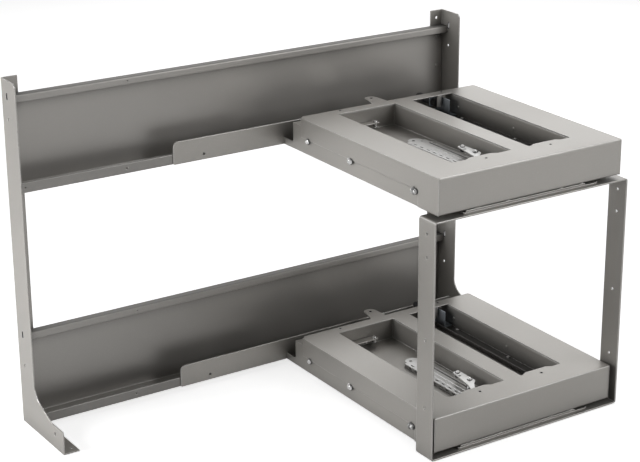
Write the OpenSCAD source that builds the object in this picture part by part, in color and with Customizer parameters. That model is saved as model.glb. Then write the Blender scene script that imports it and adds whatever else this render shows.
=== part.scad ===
// Pull-out corner shelf mechanism: a back frame of two uprights and two rails carries two
// housings. Each housing is a fixed tray under a sliding deck, and a front frame joins the decks.
// Sizes are in millimetres. The origin is on the floor, under the middle of the whole object.

/* [Back frame] */
// Width over the two uprights
frame_w = 864; // [800:2:980]
// Height of the uprights
upright_h = 594; // [560:1:760]
// Thickness of the uprights' sheet
upright_t = 2; // [1.5:0.25:3]
// Depth of an upright's leg, from the back plane
leg_depth = 54; // [53:1:70]
// Width of an upright's rear and floor flanges
flange_w = 28; // [24:1:40]
// Depth of a foot, from the back plane
foot_depth = 159; // [130:1:190]
// Height at which the foot leaves the leg
foot_h = 76; // [60:1:95]
// Radius of the holes in the legs, flanges and posts
hole_r = 2.5; // [2:0.25:3]
// Radius of the larger holes in the feet
foot_hole_r = 3.75; // [2.5:0.25:5]

/* [Back rails] */
// Height of a rail
rail_h = 152; // [110:1:165]
// Thickness of a rail's sheet
rail_t = 1.5; // [1:0.25:2.5]
// Depth of a rail's upper flange
rail_top_depth = 17.5; // [12:0.5:30]
// Height of the lip that hangs from the upper flange
top_lip_h = 12; // [8:0.5:20]
// Height of the lip that stands on the lower flange
bottom_lip_h = 17.5; // [16:0.5:24]
// Distance from the uprights' top to the upper rail
rail_drop = 27.4; // [24:0.2:60]

/* [Decks] */
// Width of a deck
deck_w = 372; // [350:1:390]
// Depth of a deck, front to back
deck_depth = 398; // [360:1:470]
// Height of a deck
deck_h = 61; // [56:1:72]
// Thickness of the decks' sheet
deck_t = 1.5; // [1:0.25:2]
// Distance from the back plane to a deck's rear edge
deck_back = 106; // [98:1:125]
// Gap between a deck and the right upright
deck_side_gap = 4; // [3.5:0.5:8]
// Width of a deck's margins beside the slots
margin_w = 65; // [60:1:75]
// Width of the strip between the slots
mid_strip_w = 36; // [28:1:44]
// Width of the right slot
right_slot_w = 87; // [80:1:96]
// Depth of the strip behind the slots
rear_strip_d = 21; // [18:1:28]
// Depth of the strip in front of the slots
front_strip_d = 54; // [48:1:60]

/* [Trays] */
// Thickness of the trays' sheet
tray_t = 1.5; // [1:0.25:2]
// Height of the tray's floor above its lower edge
floor_h = 23; // [20:1:26]
// Height of the tray behind the deck
tray_rear_h = 46; // [40:1:50]
// Height of the tail that reaches the arm plate
tail_h = 12; // [8:1:18]
// Thickness of an arm plate
arm_t = 2; // [1.5:0.25:3]
// Height of an arm plate
arm_h = 39; // [34:1:45]
// Distance from the left upright to the arm plate's end
arm_start = 272; // [200:2:320]

/* [Slides] */
// Height of a telescopic slide
slide_h = 35; // [32:1:35]
// Thickness of a telescopic slide
slide_thick = 12.7; // [12:0.1:14]
// Thickness of a slide's members
slide_t = 1.2; // [1:0.1:1.5]
// Diameter of the balls
ball_d = 3; // [2.6:0.1:3.2]
// Length of a ball cage
cage_len = 120; // [90:2:130]
// Travel of the decks and the front frame
pull_travel = 360; // [300:5:365]

/* [Front frame] */
// Depth of the front frame's strip
strip_d = 42; // [36:1:50]
// Thickness of the front frame's strip
strip_t = 2.5; // [2:0.25:3]
// Gap between a post and the decks' sides
post_gap = 8.5; // [6:0.5:12]
// Distance of the front frame ahead of the decks
strip_ahead = 7; // [0:0.5:8]
// Gap between a deck's lower edge and the bar below it
bar_gap = 6.6; // [5.6:0.2:9]
// Clearance of the lower bar above the floor
floor_clear = 0.5; // [0.5:0.5:4]

/* [Catch and damper] */
// Length of the catch lever between its rivets
lever_len = 34; // [26:1:40]
// Height of the lever's post above the catch strip
lever_post_h = 14; // [8:1:18]
// Outer diameter of the damper's cylinder
damper_d = 14; // [10:1:16]
// Stroke of the damper's rod
damper_stroke = 30; // [20:1:34]

/* [Hidden] */

paint = [0.60, 0.585, 0.56];
zinc = [0.80, 0.81, 0.82];
blue_zinc = [0.42, 0.48, 0.56];
dark_plastic = [0.10, 0.10, 0.11];

// Clearances: between sliding faces, round a fastener, and between faces that are joined
slide_gap = 0.3;
fastener_gap = 0.1;
pivot_gap = 0.05;
$fn = 24;
arc_n = 3;
bend_r = 1;

// Levels: the height of each tray's and rail's lower edge
lower_z = floor_clear + strip_t + bar_gap;
upper_z = upright_h - rail_drop - rail_h;

// Places from left to right, from the left upright's outer face
deck_x1 = frame_w - upright_t - deck_side_gap;
deck_x0 = deck_x1 - deck_w;
left_slot_w = deck_w - 2 * margin_w - mid_strip_w - right_slot_w;
left_slot_x = deck_x0 + margin_w;
mid_strip_x = left_slot_x + left_slot_w;
right_slot_x = mid_strip_x + mid_strip_w;
right_margin_x = right_slot_x + right_slot_w;
tray_x0 = deck_x0 + deck_t + slide_gap;
tray_x1 = deck_x1 - deck_t - slide_gap;
left_wall_x = left_slot_x - tray_t;
right_wall_x = right_margin_x + tray_t;
frame_x0 = deck_x0 - post_gap - strip_t;
frame_x1 = deck_x1 + post_gap + strip_t;
total_w = max(frame_w, frame_x1);

// Places from back to front: y is 0 at the back plane and falls towards the front
rail_front = -(leg_depth - 2);
arm_front = rail_front - arm_t;
deck_rear = -deck_back;
deck_front = deck_rear - deck_depth;
frame_front = deck_front - strip_ahead;
slot_rear = deck_rear - rear_strip_d;
slot_front = deck_front + front_strip_d;
tray_rear = deck_rear + 22;
lip_d = 12;
tray_front = deck_front + deck_t + lip_d + 1.5;
slide_rear = deck_rear - 11;
slide_len = slide_rear - tray_front;
slide_mid_y = (slide_rear + tray_front) / 2;
total_d = -frame_front;

// Heights within a level, above the tray's lower edge
tray_top = deck_h - deck_t - slide_gap;
slide_z = tray_top - tray_t - 1.2 - slide_h / 2;
stud_h = 24.5;
stud_r = 2;
stud_y = [deck_rear - 28, deck_rear - 158, deck_rear - 339];
skirt_z = stud_h + stud_r + 0.2;
carriage_t = 2;

// Slide members, nested with a ball's width between their flanges
ball_gap = 0.1;
middle_h = slide_h - 2 * slide_t - 2 * (ball_d + 2 * ball_gap);
inner_h = middle_h - 2 * slide_t - 2 * (ball_d + 2 * ball_gap);

// Turns a list of [x, y, radius] corners into an outline with rounded corners
function unit(v) = v / norm(v);
function flat(p) = [p[0], p[1]];
function corner_arc(c, r, a0, sweep) =
    [for (i = [0:arc_n]) c + r * [cos(a0 + sweep * i / arc_n), sin(a0 + sweep * i / arc_n)]];
function swing(a) = a > 180 ? a - 360 : (a < -180 ? a + 360 : a);
function corner(a, b, c) =
    let (u = unit(flat(a) - flat(b)), v = unit(flat(c) - flat(b)),
         half = acos(max(-1, min(1, u * v))) / 2, r = b[2])
    r == 0 || half > 89.9 ? [flat(b)] :
    let (mid = flat(b) + unit(u + v) * r / sin(half), reach = r / tan(half),
         s = flat(b) + u * reach - mid, e = flat(b) + v * reach - mid,
         a0 = atan2(s[1], s[0]))
    corner_arc(mid, r, a0, swing(atan2(e[1], e[0]) - a0));
function rounded(pts) =
    [for (i = [0:len(pts) - 1])
        each corner(pts[(i + len(pts) - 1) % len(pts)], pts[i], pts[(i + 1) % len(pts)])];
function box_outline(x0, y0, x1, y1, r) =
    rounded([[x0, y0, r], [x1, y0, r], [x1, y1, r], [x0, y1, r]]);

// Outline of a bent sheet: the path is one face, and the thickness t lies to its left
function left_normal(a, b) = let (d = unit(b - a)) [-d[1], d[0]];
function turn(a, b, c) = let (d = b - a, e = c - b) d[0] * e[1] - d[1] * e[0];
function bend_radius(path, i, t, r, on_path) =
    i == 0 || i == len(path) - 1 ? 0 :
    ((turn(path[i - 1], path[i], path[i + 1]) > 0) == (t > 0)) == on_path ? r + abs(t) : r;
function shifted(path, i, t) =
    let (last = len(path) - 1,
         n0 = i == 0 ? left_normal(path[0], path[1]) : left_normal(path[i - 1], path[i]),
         n1 = i == last ? left_normal(path[last - 1], path[last]) : left_normal(path[i], path[i + 1]))
    path[i] + t * (n0 + n1) / (1 + n0 * n1);
function bent_sheet(path, t, r = bend_r) =
    let (last = len(path) - 1,
         face = [for (i = [0:last]) [path[i][0], path[i][1], bend_radius(path, i, t, r, true)]],
         back = [for (i = [last:-1:0]) let (p = shifted(path, i, t))
             [p[0], p[1], bend_radius(path, i, t, r, false)]])
    rounded(concat(face, back));

// Extrusions of an outline: across (along x), along the depth (y) and upright (z)
module extrude_x(outline, x0, x1) {
    translate([x0, 0, 0]) rotate([90, 0, 90]) linear_extrude(x1 - x0) polygon(outline);
}
module extrude_y(outline, y0, y1) {
    translate([0, y1, 0]) rotate([90, 0, 0]) linear_extrude(y1 - y0) polygon(outline);
}
module extrude_z(outline, z0, z1) {
    translate([0, 0, z0]) linear_extrude(z1 - z0) polygon(outline);
}
module block(lo, hi) {
    translate(lo) cube(hi - lo);
}
module rod_x(x0, x1, y, z, r) {
    translate([x0, y, z]) rotate([0, 90, 0]) cylinder(r = r, h = x1 - x0);
}
module rod_y(y0, y1, x, z, r) {
    translate([x, y1, z]) rotate([90, 0, 0]) cylinder(r = r, h = y1 - y0);
}
module rod_z(z0, z1, x, y, r) {
    translate([x, y, z0]) cylinder(r = r, h = z1 - z0);
}

// A domed fastener head standing on the plane z = 0, with its shank below
module domed_head(r, h) {
    dome_r = (r * r + h * h) / (2 * h);
    rotate_extrude($fn = 32) intersection() {
        square([r, h]);
        translate([0, h - dome_r]) circle(r = dome_r, $fn = 64);
    }
}
module placed() {
    translate([-total_w / 2, total_d / 2, 0]) children();
}
module at_level(z) {
    translate([0, 0, z]) children();
}

// Back frame
leg_slot_y = -22;
leg_slot_len = 13;
leg_slot_up = 1;
leg_hole_drop = [54, 36];
flange_hole_x = 14.4;
flange_hole_drop = 14;
foot_hole_y = -(foot_depth - 31);
foot_hole_z = 25.5;
foot_rear = -upright_t - bend_r - 3;
floor_hole_x = 19.7;
floor_hole_y = -(foot_depth - 14);
rivet_z = [20, 76, 132];
rivet_r = 2;

module leg_slot(z) {
    half = leg_slot_len / 2 - hole_r;
    for (s = [-1, 1]) rod_x(-1, upright_t + 1, leg_slot_y, z + s * half, hole_r);
    block([-1, leg_slot_y - hole_r, z - half], [upright_t + 1, leg_slot_y + hole_r, z + half]);
}
module foot_plate() {
    extrude_x(rounded([[foot_rear, 0, 0], [-foot_depth, 0, 1], [-foot_depth + 12, 21, 8],
        [-foot_depth + 25, 33, 14], [-leg_depth - 11, 60, 30], [-leg_depth, foot_h, 16],
        [-leg_depth, foot_h + 40, 0], [foot_rear, foot_h + 40, 0]]), 0, upright_t);
}
module upright() {
    color(paint) difference() {
        union() {
            extrude_z(bent_sheet([[0, -leg_depth], [0, 0], [flange_w, 0]], -upright_t), 0, upright_h);
            foot_plate();
            extrude_y(bent_sheet([[0, 40], [0, 0], [flange_w, 0]], upright_t),
                -foot_depth + 1, -leg_depth - 8);
        }
        translate([0, 0, upright_h]) extrude_x(rounded([[-leg_depth - 1, 1, 0], [-leg_depth - 1, -6, 0],
            [-leg_depth, -6, 0], [-leg_depth + 6, 0, 3], [-leg_depth + 7, 1, 0]]), -1, upright_t + 1);
        block([upright_t + 0.01, -foot_depth - 1, upright_t + 0.01], [flange_w, -leg_depth - 1, 41]);
        for (z = [lower_z, upper_z]) leg_slot(z + rail_h + leg_slot_up);
        rod_x(-1, upright_t + 1, leg_slot_y, lower_z + rail_h - leg_hole_drop[0], hole_r);
        rod_x(-1, upright_t + 1, leg_slot_y, upper_z + rail_h - leg_hole_drop[1], hole_r);
        rod_x(-1, upright_t + 1, foot_hole_y, foot_hole_z, foot_hole_r);
        rod_y(-upright_t - 1, 1, flange_hole_x, upright_h - flange_hole_drop, hole_r);
        rod_z(-1, upright_t + 1, floor_hole_x, floor_hole_y, hole_r);
        for (level = [lower_z, upper_z], z = rivet_z)
            rod_y(-upright_t - 1, 1, flange_w / 2, level + z, rivet_r + fastener_gap);
    }
}
module left_upright() { placed() upright(); }
module right_upright() { placed() translate([frame_w, 0, 0]) mirror([1, 0, 0]) upright(); }

// Rails: a deep lower flange with a standing lip, a shallow upper flange with a hanging lip
lip_hole_x = 9;
lip_hole_pitch = 178;
lip_hole_r = 1.75;
rail_x0 = upright_t + bend_r;
rail_x1 = frame_w - upright_t - bend_r;
arm_hole_x = 58;
arm_hole_z = 9.5;
screw_r = 2;
arm_screw_x = [deck_x0 + 30, deck_x0 + 135, deck_x0 + 240, deck_x0 + 345];

module rail() {
    back = -upright_t;
    color(paint) difference() {
        extrude_x(bent_sheet([[back - rail_top_depth, rail_h - top_lip_h],
            [back - rail_top_depth, rail_h], [back, rail_h], [back, 0], [rail_front, 0],
            [rail_front, bottom_lip_h]], -rail_t), rail_x0, rail_x1);
        for (x = [lip_hole_x, lip_hole_x + lip_hole_pitch])
            rod_y(rail_front - 1, rail_front + rail_t + 1, x, arm_hole_z, lip_hole_r);
        rod_y(rail_front - 1, rail_front + rail_t + 1, arm_start + arm_hole_x, arm_hole_z, hole_r);
        rod_y(back - rail_top_depth - 1, back - rail_top_depth + rail_t + 1, 211,
            rail_h - top_lip_h / 2, 1);
        for (x = arm_screw_x) rod_y(rail_front - 1, rail_front + rail_t + 1, x, arm_hole_z,
            screw_r + fastener_gap);
        for (x = [flange_w / 2, frame_w - flange_w / 2], z = rivet_z)
            rod_y(back - rail_t - 1, back + 1, x, z, rivet_r + fastener_gap);
    }
}
module upper_rail() { placed() at_level(upper_z) rail(); }
module lower_rail() { placed() at_level(lower_z) rail(); }
module rail_rivets() {
    color(zinc) placed() for (level = [lower_z, upper_z], x = [flange_w / 2, frame_w - flange_w / 2],
        z = rivet_z) {
        rod_y(-upright_t - rail_t, 0, x, level + z, rivet_r);
        translate([x, -upright_t - rail_t, level + z]) rotate([90, 0, 0]) domed_head(3.5, 1);
    }
}

// Arm plates, which spread a tray's load along the rail's lip
module arm_plate() {
    color(paint) difference() {
        extrude_y(rounded([[arm_start, 0, 2], [tray_x1, 0, 2], [tray_x1, arm_h, 6],
            [arm_start, arm_h, 8]]), arm_front, rail_front);
        rod_y(arm_front - 1, rail_front + 1, arm_start + arm_hole_x, arm_hole_z, hole_r);
        for (x = arm_screw_x) rod_y(arm_front - 1, rail_front + 1, x, arm_hole_z,
            screw_r + fastener_gap);
    }
}
module upper_arm_plate() { placed() at_level(upper_z) arm_plate(); }
module lower_arm_plate() { placed() at_level(lower_z) arm_plate(); }
module arm_screws() {
    color(zinc) placed() for (level = [lower_z, upper_z], x = arm_screw_x) {
        rod_y(arm_front, rail_front + rail_t + 3, x, level + arm_hole_z, screw_r);
        translate([x, arm_front, level + arm_hole_z]) rotate([90, 0, 0]) domed_head(4.25, 2);
    }
}

// Trays: one corrugated sheet, with channels for the slides under its margins
stop_screw_x = left_slot_x + 72;
stop_screw_y = slot_rear - 8;
stop_z = floor_h + 21;
stop_rivet_x = [left_slot_x + 13, stop_screw_x - 12];
rear_wall_y = slot_rear + 2;
slide_rivet_y = [slide_rear - 30, slide_mid_y, tray_front + 30];
shelf_w = 16;

module tray_sheet() {
    extrude_y(bent_sheet([[tray_x0, 0], [tray_x0, tray_top], [left_slot_x, tray_top],
        [left_slot_x, floor_h], [mid_strip_x, floor_h], [mid_strip_x, tray_top],
        [right_slot_x, tray_top], [right_slot_x, floor_h], [right_margin_x, floor_h],
        [right_margin_x, tray_top], [tray_x1, tray_top], [tray_x1, 0]], -tray_t),
        tray_front, tray_rear);
}
module tray_tail(x) {
    extrude_x(rounded([[tray_rear - 1, 0, 0], [tray_rear - 1, tail_h + 2, 0],
        [tray_rear, tail_h + 2, 0], [tray_rear + 4, tail_h, 2], [arm_front, tail_h, 0],
        [arm_front, 0, 0]]), x, x + tray_t);
}
module tray() {
    color(paint) difference() {
        union() {
            difference() {
                tray_sheet();
                block([tray_x0 - 1, deck_rear - 2, tray_rear_h], [tray_x1 + 1, 1, deck_h]);
            }
            block([tray_x0, tray_rear - tray_t, 0], [tray_x1, tray_rear, tray_rear_h]);
            for (x = [tray_x0, tray_x1 - shelf_w]) block([x, deck_rear - 1, tray_rear_h - tray_t],
                [x + shelf_w, tray_rear, tray_rear_h]);
            block([tray_x0, tray_rear, 0], [tray_x1, arm_front, tray_t]);
            block([left_slot_x - 0.5, rear_wall_y, floor_h - tray_t],
                [mid_strip_x + 0.5, rear_wall_y + tray_t, tray_top - 0.5]);
            tray_tail(tray_x0);
            tray_tail(tray_x1 - tray_t);
        }
        for (y = stud_y) rod_x(tray_x0 - 1, tray_x0 + tray_t + 1, y, stud_h, stud_r + fastener_gap);
        for (y = stud_y) rod_x(tray_x1 - tray_t - 1, tray_x1 + 1, y, stud_h, stud_r + fastener_gap);
        for (y = slide_rivet_y) {
            rod_x(left_wall_x - 1, left_slot_x + 1, y, slide_z, rivet_r + fastener_gap);
            rod_x(right_margin_x - 1, right_wall_x + 1, y, slide_z, rivet_r + fastener_gap);
        }
        rod_y(tray_rear - tray_t - 1, tray_rear + 1, damper_x, damper_z, damper_d / 2 + fastener_gap);
        for (x = stop_rivet_x) rod_y(rear_wall_y - 1, rear_wall_y + tray_t + 1, x, stop_z - 9,
            2 + fastener_gap);
        for (y = damper_rail_screw_y) floor_hole(damper_rail_screw_x, y);
        floor_hole(bracket_x + 6, bracket_front + 12);
        for (y = strip_screw_y) floor_hole(strip_screw_x, y);
    }
}
module floor_hole(x, y) {
    rod_z(floor_h - tray_t - 1, floor_h + 1, x, y, 1.6 + fastener_gap);
}
module upper_tray() { placed() at_level(upper_z) tray(); }
module lower_tray() { placed() at_level(lower_z) tray(); }

// Guide studs: the deck's skirt rides on their shanks, under their heads
module guide_stud() {
    rod_z(-tray_t - deck_t - 2 * slide_gap, 0, 0, 0, stud_r);
    domed_head(4.5, 2.2);
    translate([0, 0, -tray_t - deck_t - 2 * slide_gap - 1]) cylinder(r = 3.2, h = 1);
}
module guide_studs() {
    color(zinc) placed() for (level = [lower_z, upper_z], y = stud_y) {
        translate([deck_x0 - slide_gap, y, level + stud_h]) rotate([0, -90, 0]) guide_stud();
        translate([deck_x1 + slide_gap, y, level + stud_h]) rotate([0, 90, 0]) guide_stud();
    }
}

// Telescopic slides: local x is the distance from the tray's wall
module on_left_wall() {
    translate([left_wall_x, 0, slide_z]) mirror([1, 0, 0]) children();
}
module on_right_wall() {
    translate([right_wall_x, 0, slide_z]) children();
}
outer_reach = slide_thick - 2.2;
middle_x = slide_t + 1.1;
cage_t = 0.5;
module slide_holes(x0, x1) {
    for (y = slide_rivet_y) rod_x(x0 - 1, x1 + 1, y, 0, rivet_r + fastener_gap);
}
module slide_outer() {
    h = slide_h / 2;
    color(zinc) difference() {
        extrude_y(bent_sheet([[outer_reach, -h], [0, -h], [0, h], [outer_reach, h]], -slide_t, 0.8),
            tray_front, slide_rear);
        slide_holes(0, slide_t);
    }
}
module slide_middle() {
    h = middle_h / 2;
    color(zinc) difference() {
        extrude_y(bent_sheet([[slide_thick - 1.6, -h], [middle_x, -h], [middle_x, h],
            [slide_thick - 1.6, h]], -slide_t, 0.8), tray_front, slide_rear);
        for (y = slide_rivet_y) rod_x(middle_x - 1, middle_x + slide_t + 1, y, 0, 4);
    }
}
module slide_inner() {
    h = inner_h / 2;
    color(zinc) difference() {
        extrude_y(bent_sheet([[middle_x + slide_t + 1.5, h], [slide_thick, h], [slide_thick, -h],
            [middle_x + slide_t + 1.5, -h]], -slide_t, 0.8), tray_front, slide_rear);
        slide_holes(slide_thick - slide_t, slide_thick);
    }
}
module cage(flange_z, web_x, reach, ball_x) {
    h = flange_z + cage_t / 2;
    y0 = slide_mid_y - cage_len / 2;
    color(zinc) union() {
        extrude_y(bent_sheet([[reach, -h], [web_x, -h], [web_x, h], [reach, h]], -cage_t, 0.2),
            y0, y0 + cage_len);
        for (s = [-1, 1], i = [0:2]) translate([ball_x, y0 + 15 + i * (cage_len - 30) / 2, s * flange_z])
            sphere(d = ball_d, $fn = 16);
    }
}
module outer_cage() {
    cage((slide_h / 2 - slide_t + middle_h / 2) / 2, slide_t + 0.3, 8.5, 6);
}
module inner_cage() {
    cage((middle_h / 2 - slide_t + inner_h / 2) / 2, middle_x + slide_t + 0.4, 9.5, 8);
}
module upper_left_slide_outer() { placed() at_level(upper_z) on_left_wall() slide_outer(); }
module upper_right_slide_outer() { placed() at_level(upper_z) on_right_wall() slide_outer(); }
module lower_left_slide_outer() { placed() at_level(lower_z) on_left_wall() slide_outer(); }
module lower_right_slide_outer() { placed() at_level(lower_z) on_right_wall() slide_outer(); }
module upper_left_slide_middle() { placed() at_level(upper_z) on_left_wall() slide_middle(); }
module upper_right_slide_middle() { placed() at_level(upper_z) on_right_wall() slide_middle(); }
module lower_left_slide_middle() { placed() at_level(lower_z) on_left_wall() slide_middle(); }
module lower_right_slide_middle() { placed() at_level(lower_z) on_right_wall() slide_middle(); }
module upper_left_slide_inner() { placed() at_level(upper_z) on_left_wall() slide_inner(); }
module upper_right_slide_inner() { placed() at_level(upper_z) on_right_wall() slide_inner(); }
module lower_left_slide_inner() { placed() at_level(lower_z) on_left_wall() slide_inner(); }
module lower_right_slide_inner() { placed() at_level(lower_z) on_right_wall() slide_inner(); }
module upper_left_outer_cage() { placed() at_level(upper_z) on_left_wall() outer_cage(); }
module upper_right_outer_cage() { placed() at_level(upper_z) on_right_wall() outer_cage(); }
module lower_left_outer_cage() { placed() at_level(lower_z) on_left_wall() outer_cage(); }
module lower_right_outer_cage() { placed() at_level(lower_z) on_right_wall() outer_cage(); }
module upper_left_inner_cage() { placed() at_level(upper_z) on_left_wall() inner_cage(); }
module upper_right_inner_cage() { placed() at_level(upper_z) on_right_wall() inner_cage(); }
module lower_left_inner_cage() { placed() at_level(lower_z) on_left_wall() inner_cage(); }
module lower_right_inner_cage() { placed() at_level(lower_z) on_right_wall() inner_cage(); }
// Rivets that hold the outer members to the trays' walls
module slide_rivets() {
    color(zinc) placed() for (level = [lower_z, upper_z], y = slide_rivet_y) at_level(level) {
        on_left_wall() slide_rivet(y);
        on_right_wall() slide_rivet(y);
    }
}
module slide_rivet(y) {
    rod_x(-tray_t, slide_t, y, 0, rivet_r);
    translate([-tray_t, y, 0]) rotate([0, -90, 0]) domed_head(3.2, 1);
}
// Rivets that hold the inner members to the carriages' sides
module carriage_rivets() {
    color(zinc) placed() for (level = [lower_z, upper_z], y = slide_rivet_y) at_level(level) {
        on_left_wall() carriage_rivet(y);
        on_right_wall() carriage_rivet(y);
    }
}
module carriage_rivet(y) {
    rod_x(slide_thick - slide_t, slide_thick + carriage_t, y, 0, rivet_r);
    translate([slide_thick + carriage_t, y, 0]) rotate([0, 90, 0]) domed_head(3.2, 1);
}

// Damper group: an angle rail on the tray's floor and a bracket that holds the cylinder
damper_rail_x = right_slot_x + 59;
damper_rail_h = 8;
damper_rail_screw_x = damper_rail_x + 22;
damper_rail_screw_y = [slot_rear - 40, slot_rear - 189];
damper_x = damper_rail_x + 1;
damper_z = floor_h + 22;
striker_w = 9;
bracket_t = 2;
bracket_x = damper_x + damper_d / 2 + 0.3;
bracket_rear = slot_rear + 22;
bracket_front = slot_rear - 18;
bracket_top = floor_h + 32;
damper_front = slot_rear + 5;
damper_len = 60;
rod_r = 2.5;

module damper_rail() {
    color(paint) difference() {
        extrude_y(bent_sheet([[damper_rail_x, floor_h + damper_rail_h], [damper_rail_x, floor_h],
            [right_margin_x - 2, floor_h]], tray_t), slot_front - 10, bracket_rear + 6);
        for (y = damper_rail_screw_y) rod_z(floor_h - 1, floor_h + 4, damper_rail_screw_x, y,
            1.6 + fastener_gap);
        rod_z(floor_h - 1, floor_h + 4, bracket_x + 6, bracket_front + 12, 1.6 + fastener_gap);
    }
}
module upper_damper_rail() { placed() at_level(upper_z) damper_rail(); }
module lower_damper_rail() { placed() at_level(lower_z) damper_rail(); }
module damper_bracket() {
    foot_z = floor_h + tray_t;
    color(blue_zinc) difference() {
        union() {
            extrude_y(bent_sheet([[bracket_x, bracket_top], [bracket_x, foot_z],
                [right_margin_x - 2, foot_z]], bracket_t), bracket_front, bracket_rear);
            extrude_y(rounded([[bracket_x + 0.5, foot_z + 6, 0], [bracket_x + 0.5, bracket_top, 0],
                [damper_x - damper_d / 2 - 1, bracket_top, 5],
                [damper_x - damper_d / 2 - 1, damper_z - damper_d / 2 - 1, 3],
                [bracket_x - 2, damper_z - damper_d / 2 - 1, 0]]),
                bracket_rear - 2 * bracket_t, bracket_rear - bracket_t);
        }
        rod_y(bracket_rear - 3 * bracket_t, bracket_rear, damper_x, damper_z, damper_d / 2 + 0.05);
        block([bracket_x - 20, bracket_rear - bracket_t, foot_z + 6],
            [bracket_x + bracket_t, bracket_rear + 1, bracket_top + 1]);
        rod_z(foot_z - 1, foot_z + 4, bracket_x + 6, bracket_front + 12, 1.6 + fastener_gap);
    }
}
module upper_damper_bracket() { placed() at_level(upper_z) damper_bracket(); }
module lower_damper_bracket() { placed() at_level(lower_z) damper_bracket(); }
module tray_screws() {
    color(zinc) placed() for (level = [lower_z, upper_z]) at_level(level) {
        for (y = damper_rail_screw_y) tray_screw(damper_rail_screw_x, y, tray_t);
        tray_screw(bracket_x + 6, bracket_front + 12, tray_t + bracket_t);
        for (y = strip_screw_y) tray_screw(strip_screw_x, y, strip_plate_t);
    }
}
module tray_screw(x, y, clamped) {
    rod_z(floor_h - tray_t - 2, floor_h + clamped, x, y, 1.6);
    translate([x, y, floor_h + clamped]) domed_head(3.2, 1.8);
}
module damper_cylinder() {
    rear = damper_front + damper_len;
    color(dark_plastic) difference() {
        union() {
            rod_y(damper_front, rear - 6, damper_x, damper_z, damper_d / 2);
            rod_y(rear - 6, rear, damper_x, damper_z, damper_d / 2 - 2);
            rod_y(bracket_rear - bracket_t, bracket_rear, damper_x, damper_z, damper_d / 2 + 2);
        }
        rod_y(damper_front - 1, rear - 8, damper_x, damper_z, rod_r + pivot_gap);
    }
}
module upper_damper_cylinder() { placed() at_level(upper_z) damper_cylinder(); }
module lower_damper_cylinder() { placed() at_level(lower_z) damper_cylinder(); }
module damper_rod() {
    color(zinc) union() {
        rod_y(slot_rear + deck_t + 1.5, damper_front + damper_len - 10, damper_x, damper_z, rod_r);
        rod_y(slot_rear + deck_t + slide_gap, slot_rear + deck_t + 2.5, damper_x, damper_z, rod_r + 1.5);
    }
}
module upper_damper_rod() { placed() at_level(upper_z) damper_rod(); }
module lower_damper_rod() { placed() at_level(lower_z) damper_rod(); }

// Catch group: a perforated strip on the tray's floor, a lever on a post, and a stop bar
strip_plate_t = 1.5;
strip_w = 38;
strip_x1 = mid_strip_x - 20;
strip_x0 = strip_x1 - strip_w;
strip_top = floor_h + 7;
strip_foot_z = floor_h + strip_plate_t;
strip_rear = slot_rear - 118;
strip_front = slot_rear - 291;
strip_slots = 8;
strip_screw_x = strip_x1 + 7;
strip_screw_y = [strip_rear - 14, strip_front + 14];
lever_x = strip_x1 - 5.5;
lever_y = slot_rear - 262;
lever_t = 2;
lever_gap = 0.2;
lever_z = strip_top + lever_post_h;
lever_hook_y = lever_y + lever_len;
roller_r = 4;

module catch_strip() {
    color(zinc) difference() {
        union() {
            extrude_y(bent_sheet([[strip_x0, floor_h], [strip_x0, strip_top], [strip_x1, strip_top],
                [strip_x1, strip_foot_z], [strip_x1 + 14, strip_foot_z]], -strip_plate_t, 0.8),
                strip_front, strip_rear);
            extrude_z(rounded([[strip_x0 + 2, strip_rear - 4, 0], [strip_x0 + 2, strip_rear + 14, 12],
                [strip_x1 - 8, strip_rear + 14, 12], [strip_x1 - 8, strip_rear - 4, 0]]),
                strip_top - strip_plate_t, strip_top);
        }
        for (i = [0:strip_slots - 1], z = strip_rear - 12 - 18 * i) {
            block([strip_x0 + 4, z - 9, strip_top - 3], [strip_x0 + 6.5, z, strip_top + 1]);
            block([strip_x0 - 1, z - 9, floor_h + 2], [strip_x0 + 2, z, floor_h + 4.5]);
        }
        rod_z(strip_top - 3, strip_top + 1, strip_x0 + 15, strip_rear + 3, 3);
        rod_z(strip_top - 3, strip_top + 1, strip_x1 - 12, strip_rear - 6, 2);
        block([strip_x1 - 8, strip_rear - 130, strip_top - 3],
            [strip_x1 - 5, strip_rear - 25, strip_top + 1]);
        rod_z(strip_top - 3, strip_top + 1, lever_x, lever_y, 2 + fastener_gap);
        for (y = strip_screw_y) rod_z(floor_h - 1, floor_h + 3, strip_screw_x, y, 1.6 + fastener_gap);
    }
}
module upper_catch_strip() { placed() at_level(upper_z) catch_strip(); }
module lower_catch_strip() { placed() at_level(lower_z) catch_strip(); }
module lever_pivots() {
    color(zinc) placed() for (level = [lower_z, upper_z]) at_level(level) {
        rod_z(strip_top - strip_plate_t, lever_z + lever_t + 2 * lever_gap, lever_x, lever_y, 2);
        rod_z(strip_top - strip_plate_t - 1, strip_top - strip_plate_t, lever_x, lever_y, 3);
        rod_z(strip_top, lever_z, lever_x, lever_y, 3.5);
        translate([lever_x, lever_y, lever_z + lever_t + 2 * lever_gap]) domed_head(3.5, 1.6);
    }
}
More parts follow.
